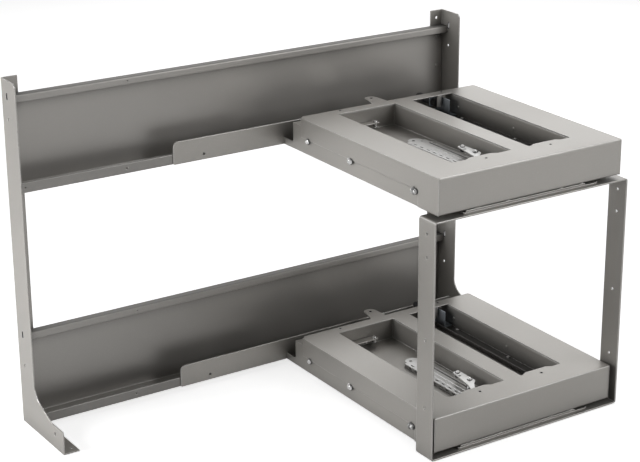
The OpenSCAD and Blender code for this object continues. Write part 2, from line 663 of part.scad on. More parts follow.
module catch_lever() {
    color(zinc) union() {
        difference() {
            extrude_z(rounded([[lever_x - 5, lever_hook_y - 4, 2], [lever_x - 5, lever_hook_y + 6, 4],
                [lever_x + 6, lever_hook_y + 6, 4], [lever_x + 5, lever_y - 4, 6],
                [lever_x - 12, lever_y - 36, 3.5], [lever_x - 19, lever_y - 31, 3.5],
                [lever_x - 5, lever_y, 8]]), lever_z + lever_gap, lever_z + lever_gap + lever_t);
            rod_z(lever_z - 1, lever_z + 5, lever_x, lever_y, 2 + pivot_gap);
        }
        rod_z(lever_z + lever_gap - 6.5, lever_z + lever_gap + 1, lever_x, lever_hook_y, 2);
        rod_z(lever_z + lever_gap - 7.5, lever_z + lever_gap - 6.5, lever_x, lever_hook_y, 3);
        translate([lever_x, lever_hook_y, lever_z + lever_gap + lever_t]) domed_head(3, 1.4);
    }
}
module upper_catch_lever() { placed() at_level(upper_z) catch_lever(); }
module lower_catch_lever() { placed() at_level(lower_z) catch_lever(); }
module lever_roller() {
    color(dark_plastic) difference() {
        rod_z(lever_z - 6, lever_z, lever_x, lever_hook_y, roller_r);
        rod_z(lever_z - 7, lever_z + 1, lever_x, lever_hook_y, 2 + pivot_gap);
    }
}
module upper_lever_roller() { placed() at_level(upper_z) lever_roller(); }
module lower_lever_roller() { placed() at_level(lower_z) lever_roller(); }

module stop_bar() {
    color(zinc) {
        difference() {
            extrude_x(bent_sheet([[rear_wall_y, stop_z - 15], [rear_wall_y, stop_z],
                [rear_wall_y - 16, stop_z]], 2), left_slot_x + 1, stop_screw_x + 6);
            rod_z(stop_z - 3, stop_z + 1, stop_screw_x, stop_screw_y, 2 + fastener_gap);
            for (x = stop_rivet_x) rod_y(rear_wall_y - 3, rear_wall_y + 1, x, stop_z - 9,
                2 + fastener_gap);
        }
        rod_z(stop_z - 8, stop_z, stop_screw_x, stop_screw_y, 2);
        translate([stop_screw_x, stop_screw_y, stop_z]) domed_head(4, 2.4);
        for (x = stop_rivet_x) {
            rod_y(rear_wall_y - 2, rear_wall_y + tray_t, x, stop_z - 9, 2);
            translate([x, rear_wall_y - 2, stop_z - 9]) rotate([90, 0, 0]) domed_head(3.2, 1.2);
        }
    }
}
module upper_stop_bar() { placed() at_level(upper_z) stop_bar(); }
module lower_stop_bar() { placed() at_level(lower_z) stop_bar(); }

// Carriages: a plate under each tray whose sides rise to the slides' inner members
carriage_x0 = left_wall_x - slide_thick - carriage_t;
carriage_x1 = right_wall_x + slide_thick + carriage_t;
carriage_z = -bar_gap;
carriage_top = slide_z + inner_h / 2 + 3;
clamp_step = 1.6;
bolt_r = 3;
bolt_y = deck_front + deck_t + lip_d / 2 + 0.5;
bolt_x = [left_slot_x + 15, left_slot_x + 75, mid_strip_x + 65, right_margin_x - 15];

module carriage() {
    front = deck_front + 1;
    color(paint) difference() {
        extrude_y(bent_sheet([[carriage_x0, carriage_top], [carriage_x0, carriage_z],
            [carriage_x1, carriage_z], [carriage_x1, carriage_top]], carriage_t), front, slide_rear);
        block([carriage_x0 - 1, front - 1, carriage_z + carriage_t + bend_r + 0.5],
            [carriage_x1 + 1, tray_front + 1, carriage_top + 1]);
        for (i = [0:1]) {
            y = slide_rear - 40 - i * (slide_len - 60) / 2;
            extrude_z(box_outline(carriage_x0 + 30, y - (slide_len - 60) / 2 + 25,
                carriage_x1 - 30, y, 12), carriage_z - 1, carriage_z + 5);
        }
        for (x = bolt_x) rod_z(carriage_z - 1, carriage_z + 5, x, bolt_y, bolt_r + fastener_gap);
        for (y = slide_rivet_y, x = [carriage_x0, carriage_x1])
            rod_x(x - 4, x + 4, y, slide_z, rivet_r + fastener_gap);
    }
}
module upper_carriage() { placed() at_level(upper_z) carriage(); }
module lower_carriage() { placed() at_level(lower_z) carriage(); }

// Decks: a plate with two long openings, side skirts and an apron with a return under it
tab_w = 48;
tab_reach = 5.5;
tab_hole_y = slot_front - 11;
tab_x = [(left_slot_x + mid_strip_x) / 2, (right_slot_x + right_margin_x) / 2 - 7.5];
rear_hole_y = deck_rear - 6;
rear_hole_x = [left_slot_x + 14, right_margin_x - 12];
ear_x0 = mid_strip_x - 34;
ear_x1 = mid_strip_x - 2;
ear_x = (ear_x0 + ear_x1) / 2 + 2;
ear_y = deck_rear + 29;
skirt_step_y = stud_y[2] - stud_r - 2.5;

module deck_opening(x0, x1, mid) {
    extrude_z(rounded([[x0, slot_rear, 2], [x0, slot_front, 2], [mid - tab_w / 2 - 8, slot_front, 6],
        [mid - tab_w / 2 + 2, slot_front + tab_reach, 6],
        [mid + tab_w / 2 - 2, slot_front + tab_reach, 6],
        [mid + tab_w / 2 + 8, slot_front, 6], [x1, slot_front, 2], [x1, slot_rear, 2]]),
        deck_h - 5, deck_h + 1);
    rod_z(deck_h - 5, deck_h + 1, mid, tab_hole_y, hole_r);
}
module skirt_cut() {
    extrude_x(rounded([[deck_rear + 1, -1, 0], [deck_rear + 1, skirt_z, 0],
        [skirt_step_y, skirt_z, stud_r + 0.3], [skirt_step_y, -1, 0]]), deck_x0 - 1, deck_x1 + 1);
}
module deck_shell() {
    difference() {
        extrude_y(bent_sheet([[deck_x0, 0], [deck_x0, deck_h], [deck_x1, deck_h], [deck_x1, 0]],
            -deck_t), deck_front + 0.5, deck_rear);
        skirt_cut();
    }
    intersection() {
        extrude_x(bent_sheet([[deck_rear, deck_h], [deck_front, deck_h], [deck_front, 0],
            [deck_front + deck_t + lip_d, 0]], deck_t), deck_x0, deck_x1);
        extrude_z(rounded([[deck_x0, deck_front, 2.5], [deck_x1, deck_front, 2.5],
            [deck_x1, deck_rear, 0], [deck_x0, deck_rear, 0]]), -1, deck_h + 1);
    }
}
module deck() {
    color(paint) difference() {
        union() {
            deck_shell();
            extrude_z(rounded([[ear_x0, deck_rear - 1, 0], [ear_x0, deck_rear, 5],
                [ear_x - 12, ear_y - 6, 8], [ear_x - 11, ear_y + 11, 11],
                [ear_x + 11, ear_y + 11, 11], [ear_x + 12, ear_y - 6, 8],
                [ear_x1, deck_rear, 5], [ear_x1, deck_rear - 1, 0]]), deck_h - deck_t, deck_h);
            extrude_y(rounded([[damper_x - striker_w / 2, deck_h - deck_t / 2, 0],
                [damper_x - striker_w / 2, damper_z - 6, 2], [damper_x + striker_w / 2, damper_z - 6, 2],
                [damper_x + striker_w / 2, deck_h - deck_t / 2, 0]]), slot_rear, slot_rear + deck_t);
        }
        deck_opening(left_slot_x, mid_strip_x, tab_x[0]);
        deck_opening(right_slot_x, right_margin_x, tab_x[1]);
        for (x = rear_hole_x) rod_z(deck_h - 5, deck_h + 1, x, rear_hole_y, hole_r);
        rod_z(deck_h - 5, deck_h + 1, ear_x, ear_y, 3);
        extrude_z([[deck_x0 - 1, deck_rear - 8], [deck_x0 + 8, deck_rear + 1],
            [deck_x0 - 1, deck_rear + 1]], skirt_z - 1, deck_h + 1);
        extrude_z([[deck_x1 + 1, deck_rear - 4], [deck_x1 - 4, deck_rear + 1],
            [deck_x1 + 1, deck_rear + 1]], skirt_z - 1, deck_h + 1);
        for (x = bolt_x) rod_z(-1, deck_t + 1, x, bolt_y, bolt_r + fastener_gap);
    }
}
module upper_deck() { placed() at_level(upper_z) deck(); }
module lower_deck() { placed() at_level(lower_z) deck(); }

// Front frame: one flat strip bent into a rectangle, with its seam in the lower bar
bar_z0 = lower_z - bar_gap - strip_t;
bar_z1 = upper_z - bar_gap;
post_y = frame_front + strip_d / 2;
post_hole_z = [bar_z1 - 24, bar_z1 - 63, bar_z0 + 205.5, bar_z0 + 87.5];
seam_x = mid_strip_x + 3;
seam_gap = 0.4;
corner_r = 2;

module front_frame() {
    color(paint) placed() difference() {
        extrude_y(bent_sheet([[seam_x - seam_gap / 2, bar_z0], [frame_x0, bar_z0], [frame_x0, bar_z1],
            [frame_x1, bar_z1], [frame_x1, bar_z0], [seam_x + seam_gap / 2, bar_z0]],
            -strip_t, corner_r), frame_front, frame_front + strip_d);
        for (z = post_hole_z, x = [frame_x0, frame_x1 - strip_t])
            rod_x(x - 1, x + strip_t + 1, post_y, z, hole_r);
        for (z = [bar_z0, bar_z1 - strip_t], x = bolt_x)
            rod_z(z - 1, z + strip_t + 1, x, bolt_y, bolt_r + fastener_gap);
    }
}
module clamp_bars() {
    color(paint) placed() for (level = [lower_z, upper_z]) difference() {
        union() {
            block([carriage_x0 + 6, bolt_y - 6, level + carriage_z + carriage_t],
                [carriage_x1 - 25, bolt_y + 6, level - clamp_step]);
            for (x = bolt_x) rod_z(level + carriage_z + carriage_t, level, x, bolt_y, 5.5);
        }
        for (x = bolt_x) rod_z(level + carriage_z, level + 1, x, bolt_y, bolt_r + fastener_gap);
    }
}
module deck_bolts() {
    color(zinc) placed() for (level = [lower_z, upper_z], x = bolt_x) {
        rod_z(level + carriage_z - strip_t, level + deck_t, x, bolt_y, bolt_r);
        translate([x, bolt_y, level + deck_t]) domed_head(5, 3);
    }
}

left_upright();
right_upright();
upper_rail();
lower_rail();
rail_rivets();
upper_arm_plate();
lower_arm_plate();
arm_screws();
upper_tray();
lower_tray();
guide_studs();
upper_left_slide_outer();
upper_right_slide_outer();
lower_left_slide_outer();
lower_right_slide_outer();
upper_left_slide_middle();
upper_right_slide_middle();
lower_left_slide_middle();
lower_right_slide_middle();
upper_left_slide_inner();
upper_right_slide_inner();
lower_left_slide_inner();
lower_right_slide_inner();
upper_left_outer_cage();
upper_right_outer_cage();
lower_left_outer_cage();
lower_right_outer_cage();
upper_left_inner_cage();
upper_right_inner_cage();
lower_left_inner_cage();
lower_right_inner_cage();
slide_rivets();
carriage_rivets();
upper_damper_rail();
lower_damper_rail();
upper_damper_bracket();
lower_damper_bracket();
tray_screws();
upper_damper_cylinder();
lower_damper_cylinder();
upper_damper_rod();
lower_damper_rod();
upper_catch_strip();
lower_catch_strip();
upper_catch_lever();
lower_catch_lever();
lever_pivots();
upper_lever_roller();
lower_lever_roller();
upper_stop_bar();
lower_stop_bar();
upper_carriage();
lower_carriage();
upper_deck();
lower_deck();
front_frame();
clamp_bars();
deck_bolts();
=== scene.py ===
import math

import bmesh
import bpy
from mathutils import Matrix, Vector


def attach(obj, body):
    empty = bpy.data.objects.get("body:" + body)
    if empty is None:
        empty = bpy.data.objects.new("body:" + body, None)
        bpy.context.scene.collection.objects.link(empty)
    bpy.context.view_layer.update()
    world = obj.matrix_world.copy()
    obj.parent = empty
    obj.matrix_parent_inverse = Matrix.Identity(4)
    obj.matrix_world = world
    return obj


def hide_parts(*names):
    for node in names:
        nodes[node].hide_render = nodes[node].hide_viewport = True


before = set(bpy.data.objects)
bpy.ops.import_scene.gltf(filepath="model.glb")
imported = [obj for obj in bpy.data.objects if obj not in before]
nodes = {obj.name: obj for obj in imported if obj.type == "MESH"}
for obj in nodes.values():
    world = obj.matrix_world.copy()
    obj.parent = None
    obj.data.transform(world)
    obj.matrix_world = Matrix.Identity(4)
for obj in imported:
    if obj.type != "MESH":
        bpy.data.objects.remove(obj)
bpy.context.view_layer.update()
print("frame loaded,", len(nodes), "nodes")

mm = 0.001
levelHeights = {"lower": 9.6, "upper": 414.6}  # each level's foot above the floor


def deselectAll():
    if bpy.context.object and bpy.context.object.mode != "OBJECT":
        bpy.ops.object.mode_set(mode="OBJECT")
    bpy.ops.object.select_all(action="DESELECT")


# Shader helpers

def newMaterial(name):
    material = bpy.data.materials.new(name)
    material.use_nodes = True
    material.node_tree.nodes.clear()
    return material


def link(tree, source, socket):  # the source is another node's output, a number or a colour
    if isinstance(source, (int, float)):
        socket.default_value = source
    elif isinstance(source, tuple):
        socket.default_value = (*source, 1)
    else:
        tree.links.new(source, socket)


def linkAll(tree, sockets, sources):
    for label, source in sources.items():
        link(tree, source, sockets[label])


def addMath(tree, kind, first, second, clamp=False):
    node = tree.nodes.new("ShaderNodeMath")
    node.operation = kind
    node.use_clamp = clamp
    link(tree, first, node.inputs[0])
    link(tree, second, node.inputs[1])
    return node.outputs[0]


def times(tree, first, second, clamp=False):
    return addMath(tree, "MULTIPLY", first, second, clamp)


def addNoise(tree, vector, scale, detail, roughness):
    node = tree.nodes.new("ShaderNodeTexNoise")
    linkAll(tree, node.inputs, {"Vector": vector, "Scale": scale, "Detail": detail, "Roughness": roughness})
    return node.outputs["Fac"]


def addRange(tree, value, low, high, toLow=0.0, toHigh=1.0):
    node = tree.nodes.new("ShaderNodeMapRange")
    linkAll(tree, node.inputs, {"Value": value, "From Min": low, "From Max": high, "To Min": toLow,
                                "To Max": toHigh})
    return node.outputs["Result"]


def addMix(tree, factor, first, second):
    node = tree.nodes.new("ShaderNodeMix")
    node.data_type = "RGBA"
    linkAll(tree, node.inputs, {0: factor, 6: first, 7: second})  # the places of a colour mix's inputs
    return node.outputs[2]


# Camera, fitted to the photograph's own corners

cameraView = {
    "place": (-1.50567, -2.32803, 1.34025),
    "yaw": 35.214,  # from +Y towards +X
    "pitch": 19.747,  # downwards
    "roll": 0.473,
    "lens": 101.153,
    "sensor": 36,
    "shift": (-0.1104, -0.0166),
    "clip": (0.05, 60),
}


def makeCamera():
    yaw, pitch, roll = (math.radians(cameraView[k]) for k in ("yaw", "pitch", "roll"))
    ahead = Vector((math.sin(yaw) * math.cos(pitch), math.cos(yaw) * math.cos(pitch), -math.sin(pitch)))
    side = ahead.cross(Vector((0, 0, 1))).normalized()
    up = side.cross(ahead)
    right = side * math.cos(roll) + up * math.sin(roll)
    top = up * math.cos(roll) - side * math.sin(roll)
    turn = Matrix((right, top, -ahead)).transposed().to_4x4()
    data = bpy.data.cameras.new("photoCamera")
    data.lens = cameraView["lens"]
    data.sensor_width = cameraView["sensor"]
    data.sensor_fit = "HORIZONTAL"
    data.shift_x, data.shift_y = cameraView["shift"]
    data.clip_start, data.clip_end = cameraView["clip"]
    camera = bpy.data.objects.new("photoCamera", data)
    bpy.context.scene.collection.objects.link(camera)
    camera.matrix_world = Matrix.Translation(Vector(cameraView["place"])) @ turn
    bpy.context.scene.camera = camera


makeCamera()
print("camera set")


# Floor, world and lamps

studio = {
    "floorSize": 30.0,
    "floorDrop": 0.0008,  # keeps the floor's face clear of the feet's
    "floorColor": (0.86, 0.86, 0.86),
    "floorGlow": 0.72,  # seen by the camera only, lifts the floor to white
    "floorShine": 0.27,  # seen by shiny surfaces
    "skyLevel": 0.15,
    "skyShine": 0.4,  # what shiny surfaces see of the white surroundings
    "lampTarget": (0.1, 0, 0.3),
    # power, place and size; the two bend lamps only show as bright lines along the decks' bends
    "lamps": {
        "fillLamp": (19.0, (-1.75, 0.4, 0.8), 0.8),
        "backLamp": (21.0, (1.6, 2.0, 1.7), 2.2),
        "frontLamp": (15.0, (1.3, -1.9, 1.3), 1.2),
        "bendFrontLamp": (5.0, (1.5, -1.15, 2.45), 0.6),
        "bendSideLamp": (3.5, (-0.85, 2.0, 1.85), 0.5),
    },
}


def makeFloor():
    deselectAll()
    bpy.ops.mesh.primitive_plane_add(size=studio["floorSize"], location=(0, 0, -studio["floorDrop"]))
    floor = bpy.context.active_object
    floor.name = "studioFloor"
    material = newMaterial("studioFloor")
    tree = material.node_tree
    matte = tree.nodes.new("ShaderNodeBsdfDiffuse")
    link(tree, studio["floorColor"], matte.inputs["Color"])
    path = tree.nodes.new("ShaderNodeLightPath").outputs
    seen = times(tree, path["Is Camera Ray"], studio["floorGlow"])
    shiny = times(tree, path["Is Glossy Ray"], studio["floorShine"])
    glow = tree.nodes.new("ShaderNodeEmission")
    link(tree, addMath(tree, "ADD", seen, shiny), glow.inputs["Strength"])
    both = tree.nodes.new("ShaderNodeAddShader")
    link(tree, matte.outputs[0], both.inputs[0])
    link(tree, glow.outputs[0], both.inputs[1])
    link(tree, both.outputs[0], tree.nodes.new("ShaderNodeOutputMaterial").inputs["Surface"])
    floor.data.materials.append(material)


def makeSky():
    world = bpy.data.worlds.new("studioSky")
    bpy.context.scene.world = world
    world.use_nodes = True
    tree = world.node_tree
    tree.nodes.clear()
    path = tree.nodes.new("ShaderNodeLightPath").outputs
    seen = addMath(tree, "MAXIMUM", path["Is Camera Ray"], path["Is Transmission Ray"])
    shiny = times(tree, path["Is Glossy Ray"], studio["skyShine"])
    level = addRange(tree, seen, 0.0, 1.0, studio["skyLevel"], 1.0)
    back = tree.nodes.new("ShaderNodeBackground")
    link(tree, addMath(tree, "MAXIMUM", level, shiny), back.inputs["Strength"])
    link(tree, back.outputs[0], tree.nodes.new("ShaderNodeOutputWorld").inputs["Surface"])


def makeLamp(name, power, place, size):
    data = bpy.data.lights.new(name, "AREA")
    data.energy = power
    data.size = size
    lamp = bpy.data.objects.new(name, data)
    bpy.context.scene.collection.objects.link(lamp)
    aim = (Vector(studio["lampTarget"]) - Vector(place)).to_track_quat("-Z", "Y").to_matrix().to_4x4()
    lamp.matrix_world = Matrix.Translation(Vector(place)) @ aim


makeFloor()
makeSky()
for lampName, settings in studio["lamps"].items():
    makeLamp(lampName, *settings)
bpy.context.scene.view_settings.view_transform = "Standard"
print("studio set")


# Shared effects, as node groups that give colours, masks, values and normals

def newGroup(name, inputs, outputs):  # an input without a value takes a vector
    group = bpy.data.node_groups.new(name, "ShaderNodeTree")
    for label, value in inputs.items():
        kind = "NodeSocketVector" if value is None else "NodeSocketFloat"
        socket = group.interface.new_socket(label, in_out="INPUT", socket_type=kind)
        if value is not None:
            socket.default_value = value
    for label, kind in outputs.items():
        group.interface.new_socket(label, in_out="OUTPUT", socket_type="NodeSocket" + kind)
    return group, group.nodes.new("NodeGroupInput").outputs, group.nodes.new("NodeGroupOutput").inputs


edgeHighlight = {"samples": 6, "turned": (0.015, 0.25), "highlightGaps": (60.0, 4.0, 0.6), "highlightGapRange": (0.3, 0.62)}


def buildEdgeHighlight():  # painted highlight along edges: where a bevel would turn the surface, less the gaps that a noise leaves
    group, given, result = newGroup("edgeHighlight", {"Radius": 0.0012, "Vector": None, "Breakup": 0.5},
                                    {"Mask": "Float", "Normal": "Vector"})
    bevel = group.nodes.new("ShaderNodeBevel")
    bevel.samples = edgeHighlight["samples"]
    link(group, given["Radius"], bevel.inputs["Radius"])
    shape = group.nodes.new("ShaderNodeNewGeometry")
    dot = group.nodes.new("ShaderNodeVectorMath")
    dot.operation = "DOT_PRODUCT"
    link(group, bevel.outputs["Normal"], dot.inputs[0])
    link(group, shape.outputs["Normal"], dot.inputs[1])
    edge = addRange(group, addMath(group, "SUBTRACT", 1.0, dot.outputs["Value"]), *edgeHighlight["turned"])
    gapped = addRange(group, addNoise(group, given["Vector"], *edgeHighlight["highlightGaps"]), *edgeHighlight["highlightGapRange"])
    share = times(group, gapped, given["Breakup"])
    plain = addMath(group, "SUBTRACT", 1.0, given["Breakup"])
    mask = times(group, edge, addMath(group, "ADD", share, plain), clamp=True)
    linkAll(group, result, {"Mask": mask, "Normal": bevel.outputs["Normal"]})
    return group


bendHighlight = {
    "gain": 2.2, "cloud": (24.0, 3.0, 0.6), "cloudRange": (0.3, 0.55, 0.7, 1.0), "upRange": (0.6, 0.95),
}


def buildBendHighlight():  # painted highlight on the rounded bends between two faces
    group, given, result = newGroup("bendHighlight", {"Vector": None, "Start": 0.3},
                                    {"Mask": "Float", "Up": "Float"})
    shape = group.nodes.new("ShaderNodeNewGeometry")
    parts = group.nodes.new("ShaderNodeSeparateXYZ")
    link(group, shape.outputs["Normal"], parts.inputs[0])
    squares = [times(group, parts.outputs[i], parts.outputs[i]) for i in range(3)]
    pairs = [times(group, squares[a], squares[b]) for a, b in ((0, 1), (1, 2), (0, 2))]
    total = addMath(group, "ADD", addMath(group, "ADD", pairs[0], pairs[1]), pairs[2])
    past = addMath(group, "SUBTRACT", times(group, total, 4.0), given["Start"])  # 1 at 45 degrees
    sharp = times(group, past, bendHighlight["gain"], clamp=True)
    cloud = addNoise(group, given["Vector"], *bendHighlight["cloud"])
    uneven = addRange(group, cloud, *bendHighlight["cloudRange"])
    link(group, times(group, sharp, uneven), result["Mask"])
    link(group, addRange(group, parts.outputs[2], *bendHighlight["upRange"]), result["Up"])
    return group


cornerShade = {
    "samples": 6, "closed": (0.08, 0.75), "cloud": (30.0, 3.0, 0.5), "cloudRange": (0.3, 0.7, 0.92, 1.0),
}


def buildCornerShade():  # how closed in a place is: 1 in deep corners, 0 in the open
    group, given, result = newGroup("cornerShade", {"Vector": None, "Distance": 0.035}, {"Mask": "Float"})
    light = group.nodes.new("ShaderNodeAmbientOcclusion")
    light.samples = cornerShade["samples"]
    link(group, given["Distance"], light.inputs["Distance"])
    closed = addRange(group, addMath(group, "SUBTRACT", 1.0, light.outputs["AO"]), *cornerShade["closed"])
    cloud = addNoise(group, given["Vector"], *cornerShade["cloud"])
    uneven = addRange(group, cloud, *cornerShade["cloudRange"])
    link(group, times(group, closed, uneven, clamp=True), result["Mask"])
    return group


paintSkin = {"grain": (2.0, 0.55), "peel": (2.0, 0.4), "cloud": (5.5, 4.0, 0.6), "grainShare": 0.4,
             "fleckRange": (0.6, 0.72)}


def buildPaintSkin():
    group, given, result = newGroup("paintSkin", {"Vector": None, "Grain": 900.0, "Peel": 210.0},
                                    {"Height": "Float", "Mottle": "Float", "Fleck": "Float"})
    fine = addNoise(group, given["Vector"], given["Grain"], *paintSkin["grain"])
    peel = addNoise(group, given["Vector"], given["Peel"], *paintSkin["peel"])
    height = addMath(group, "ADD", times(group, fine, paintSkin["grainShare"]),
                     times(group, peel, 1 - paintSkin["grainShare"]))
    link(group, height, result["Height"])
    link(group, addNoise(group, given["Vector"], *paintSkin["cloud"]), result["Mottle"])
    link(group, addRange(group, fine, *paintSkin["fleckRange"]), result["Fleck"])
    return group


zincSkin = {"squash": (1.0, 0.04, 1.0), "streak": (4.0, 0.65), "stain": (38.0, 4.0, 0.6), "streakShare": 0.7}


def buildZincSkin():
    outputs = {label: "Float" for label in ("Spangle", "Streak", "Stain", "Height")}
    group, given, result = newGroup("zincSkin", {"Vector": None, "Spangle": 420.0, "Streak": 260.0}, outputs)
    cells = group.nodes.new("ShaderNodeTexVoronoi")
    link(group, given["Vector"], cells.inputs["Vector"])
    link(group, given["Spangle"], cells.inputs["Scale"])
    single = group.nodes.new("ShaderNodeSeparateColor")
    link(group, cells.outputs["Color"], single.inputs[0])
    grain = group.nodes.new("ShaderNodeMapping")
    grain.inputs["Scale"].default_value = zincSkin["squash"]
    link(group, given["Vector"], grain.inputs["Vector"])
    streak = addNoise(group, grain.outputs["Vector"], given["Streak"], *zincSkin["streak"])
    height = addMath(group, "ADD", times(group, streak, zincSkin["streakShare"]),
                     times(group, single.outputs[0], 1 - zincSkin["streakShare"]))
    stain = addNoise(group, given["Vector"], *zincSkin["stain"])
    linkAll(group, result, {"Spangle": single.outputs[0], "Streak": streak, "Stain": stain, "Height": height})
    return group


groups = {"edgeHighlight": buildEdgeHighlight(), "bendHighlight": buildBendHighlight(), "cornerShade": buildCornerShade(),
          "paintSkin": buildPaintSkin(), "zincSkin": buildZincSkin()}


# Materials

def startMaterial(name, plain):
    material = newMaterial(name)
    tree = material.node_tree
    shader = tree.nodes.new("ShaderNodeBsdfPrincipled")
    for label, value in plain.items():
        shader.inputs[label].default_value = value
    out = tree.nodes.new("ShaderNodeOutputMaterial")
    link(tree, shader.outputs[0], out.inputs["Surface"])
    place = tree.nodes.new("ShaderNodeTexCoord").outputs["Object"]
    return material, tree, shader.inputs, place


def useGroup(tree, name, place, **values):
    node = tree.nodes.new("ShaderNodeGroup")
    node.node_tree = groups[name]
    link(tree, place, node.inputs["Vector"])
    for label, value in values.items():
        node.inputs[label].default_value = value
    return node.outputs


def addBump(tree, height, strength, depth, normal):
    node = tree.nodes.new("ShaderNodeBump")
    node.inputs["Strength"].default_value = strength
    node.inputs["Distance"].default_value = depth
    linkAll(tree, node.inputs, {"Height": height, "Normal": normal})
    return node.outputs["Normal"]


paint = {
    "shader": {"Coat Weight": 0.12, "Coat Roughness": 0.3, "Metallic": 0.6},
    "mottle": (0.35, 0.65), "roughMottle": (0.3, 0.7), "edgePolish": 0.12, "dustRoughness": 0.4,
    "bumpDepth": 0.0004, "cornerColor": (0.04, 0.039, 0.037),
}
zinc = {
    "shader": {"Specular IOR Level": 0.5},
    "cellShare": 0.6, "stainRange": (0.5, 0.75), "edgeBreakup": 0.3, "edgeAmount": 0.6,
    "cornerReach": 0.012, "corner": 0.5, "cornerColor": (0.05, 0.05, 0.05),
    "metalRange": (0.55, 0.8), "metalLoss": 0.15, "roughRange": (0.3, 0.7), "bumpDepth": 0.0002,
}
plastic = {
    "shader": {"Specular IOR Level": 0.45},
    "grain": 1800.0, "peel": 600.0, "edgeRadius": 0.0005, "edgeBreakup": 0.4, "edgeAmount": 0.5,
    "roughRange": (0.3, 0.7), "bump": 0.12, "bumpDepth": 0.0002,
}


def railMasks(tree, place, look, flat, up):  # masks for painted shade, by the height above each level's foot
    parts = tree.nodes.new("ShaderNodeSeparateXYZ")
    link(tree, place, parts.inputs[0])
    levelStep = (levelHeights["upper"] - levelHeights["lower"]) * mm
    height = addMath(tree, "MODULO", parts.outputs[2], levelStep)
    topFlangeMask = times(tree, addRange(tree, height, *look["dustRange"]), up)
    underTop = addRange(tree, height, *look["topShade"])
    lowFace = times(tree, addRange(tree, height, *look["lowShade"]), flat)
    lowLip = times(tree, lowFace, addRange(tree, parts.outputs[1], *look["lipRange"]))
    return topFlangeMask, underTop, lowLip


def makePaint(name, look):
    material, tree, shader, place = startMaterial(name, paint["shader"])
    skin = useGroup(tree, "paintSkin", place)
    edge = useGroup(tree, "edgeHighlight", place, Radius=look["edgeRadius"], Breakup=look["edgeBreakup"])
    bend = useGroup(tree, "bendHighlight", place)
    corner = useGroup(tree, "cornerShade", place)
    color = addMix(tree, addRange(tree, skin["Mottle"], *paint["mottle"]), look["dark"], look["color"])
    color = addMix(tree, times(tree, skin["Fleck"], look["fleck"]), color, look["edgeColor"])
    # painted highlight: edgeColor along the edges
    color = addMix(tree, times(tree, edge["Mask"], look["edgeAmount"]), color, look["edgeColor"])
    # painted highlight: bendColor on the bends
    color = addMix(tree, times(tree, bend["Mask"], look["bendAmount"]), color, look["bendColor"])
    shade = times(tree, corner["Mask"], look["shade"])
    rough = addRange(tree, skin["Mottle"], *paint["roughMottle"], *look["rough"])
    rough = addMath(tree, "SUBTRACT", rough, times(tree, edge["Mask"], paint["edgePolish"]))
    if "dust" in look:  # the rails: painted shade on the top flange, under the upper lip and on the lower lip's face
        flat = addMath(tree, "SUBTRACT", 1.0, edge["Mask"])
        topFlangeMask, underTop, lowLip = railMasks(tree, place, look, flat, bend["Up"])
        # painted shade: a darker colour on the top flange
        dust = times(tree, times(tree, topFlangeMask, look["dust"]), flat)
        color = addMix(tree, dust, color, look["dustColor"])
        shade = addMath(tree, "MAXIMUM", shade, times(tree, underTop, corner["Mask"]))
        shade = addMath(tree, "MAXIMUM", shade, lowLip)
        dull = times(tree, topFlangeMask, paint["dustRoughness"])
        rough = addMath(tree, "ADD", rough, dull, clamp=True)
    bump = addBump(tree, skin["Height"], look["bump"], paint["bumpDepth"], edge["Normal"])
    color = addMix(tree, shade, color, paint["cornerColor"])
    linkAll(tree, shader, {"Base Color": color, "Roughness": rough, "Normal": bump})
    return material


def makeZinc(name, look):
    material, tree, shader, place = startMaterial(name, zinc["shader"])
    skin = useGroup(tree, "zincSkin", place, Spangle=look["spangle"], Streak=look["streak"])
    edge = useGroup(tree, "edgeHighlight", place, Radius=look["edgeRadius"], Breakup=zinc["edgeBreakup"])
    corner = useGroup(tree, "cornerShade", place, Distance=zinc["cornerReach"])
    cell = addRange(tree, skin["Spangle"], 0.0, 1.0, 0.0, zinc["cellShare"])
    stain = addRange(tree, skin["Stain"], *zinc["stainRange"], 0.0, look["stain"])
    color = addMix(tree, cell, look["color"], look["dark"])
    color = addMix(tree, stain, color, look["stainColor"])
    # painted highlight: edgeColor along the edges
    color = addMix(tree, times(tree, edge["Mask"], zinc["edgeAmount"]), color, look["edgeColor"])
    color = addMix(tree, times(tree, corner["Mask"], zinc["corner"]), color, zinc["cornerColor"])
    metalEnds = (look["metal"], look["metal"] - zinc["metalLoss"])
    bump = addBump(tree, skin["Height"], look["bump"], zinc["bumpDepth"], edge["Normal"])
    metal = addRange(tree, skin["Stain"], *zinc["metalRange"], *metalEnds)
    rough = addRange(tree, skin["Streak"], *zinc["roughRange"], *look["rough"])
    linkAll(tree, shader, {"Base Color": color, "Metallic": metal, "Roughness": rough, "Normal": bump})
    return material


def makePlastic(name, look):
    material, tree, shader, place = startMaterial(name, plastic["shader"])
    skin = useGroup(tree, "paintSkin", place, Grain=plastic["grain"], Peel=plastic["peel"])
    edge = useGroup(tree, "edgeHighlight", place, Radius=plastic["edgeRadius"], Breakup=plastic["edgeBreakup"])
    color = addMix(tree, skin["Mottle"], look["color"], look["dark"])
    # painted highlight: edgeColor along the edges
    color = addMix(tree, times(tree, edge["Mask"], plastic["edgeAmount"]), color, look["edgeColor"])
    bump = addBump(tree, skin["Height"], plastic["bump"], plastic["bumpDepth"], edge["Normal"])
    rough = addRange(tree, skin["Height"], *plastic["roughRange"], *look["rough"])
    linkAll(tree, shader, {"Base Color": color, "Roughness": rough, "Normal": bump})
    return material


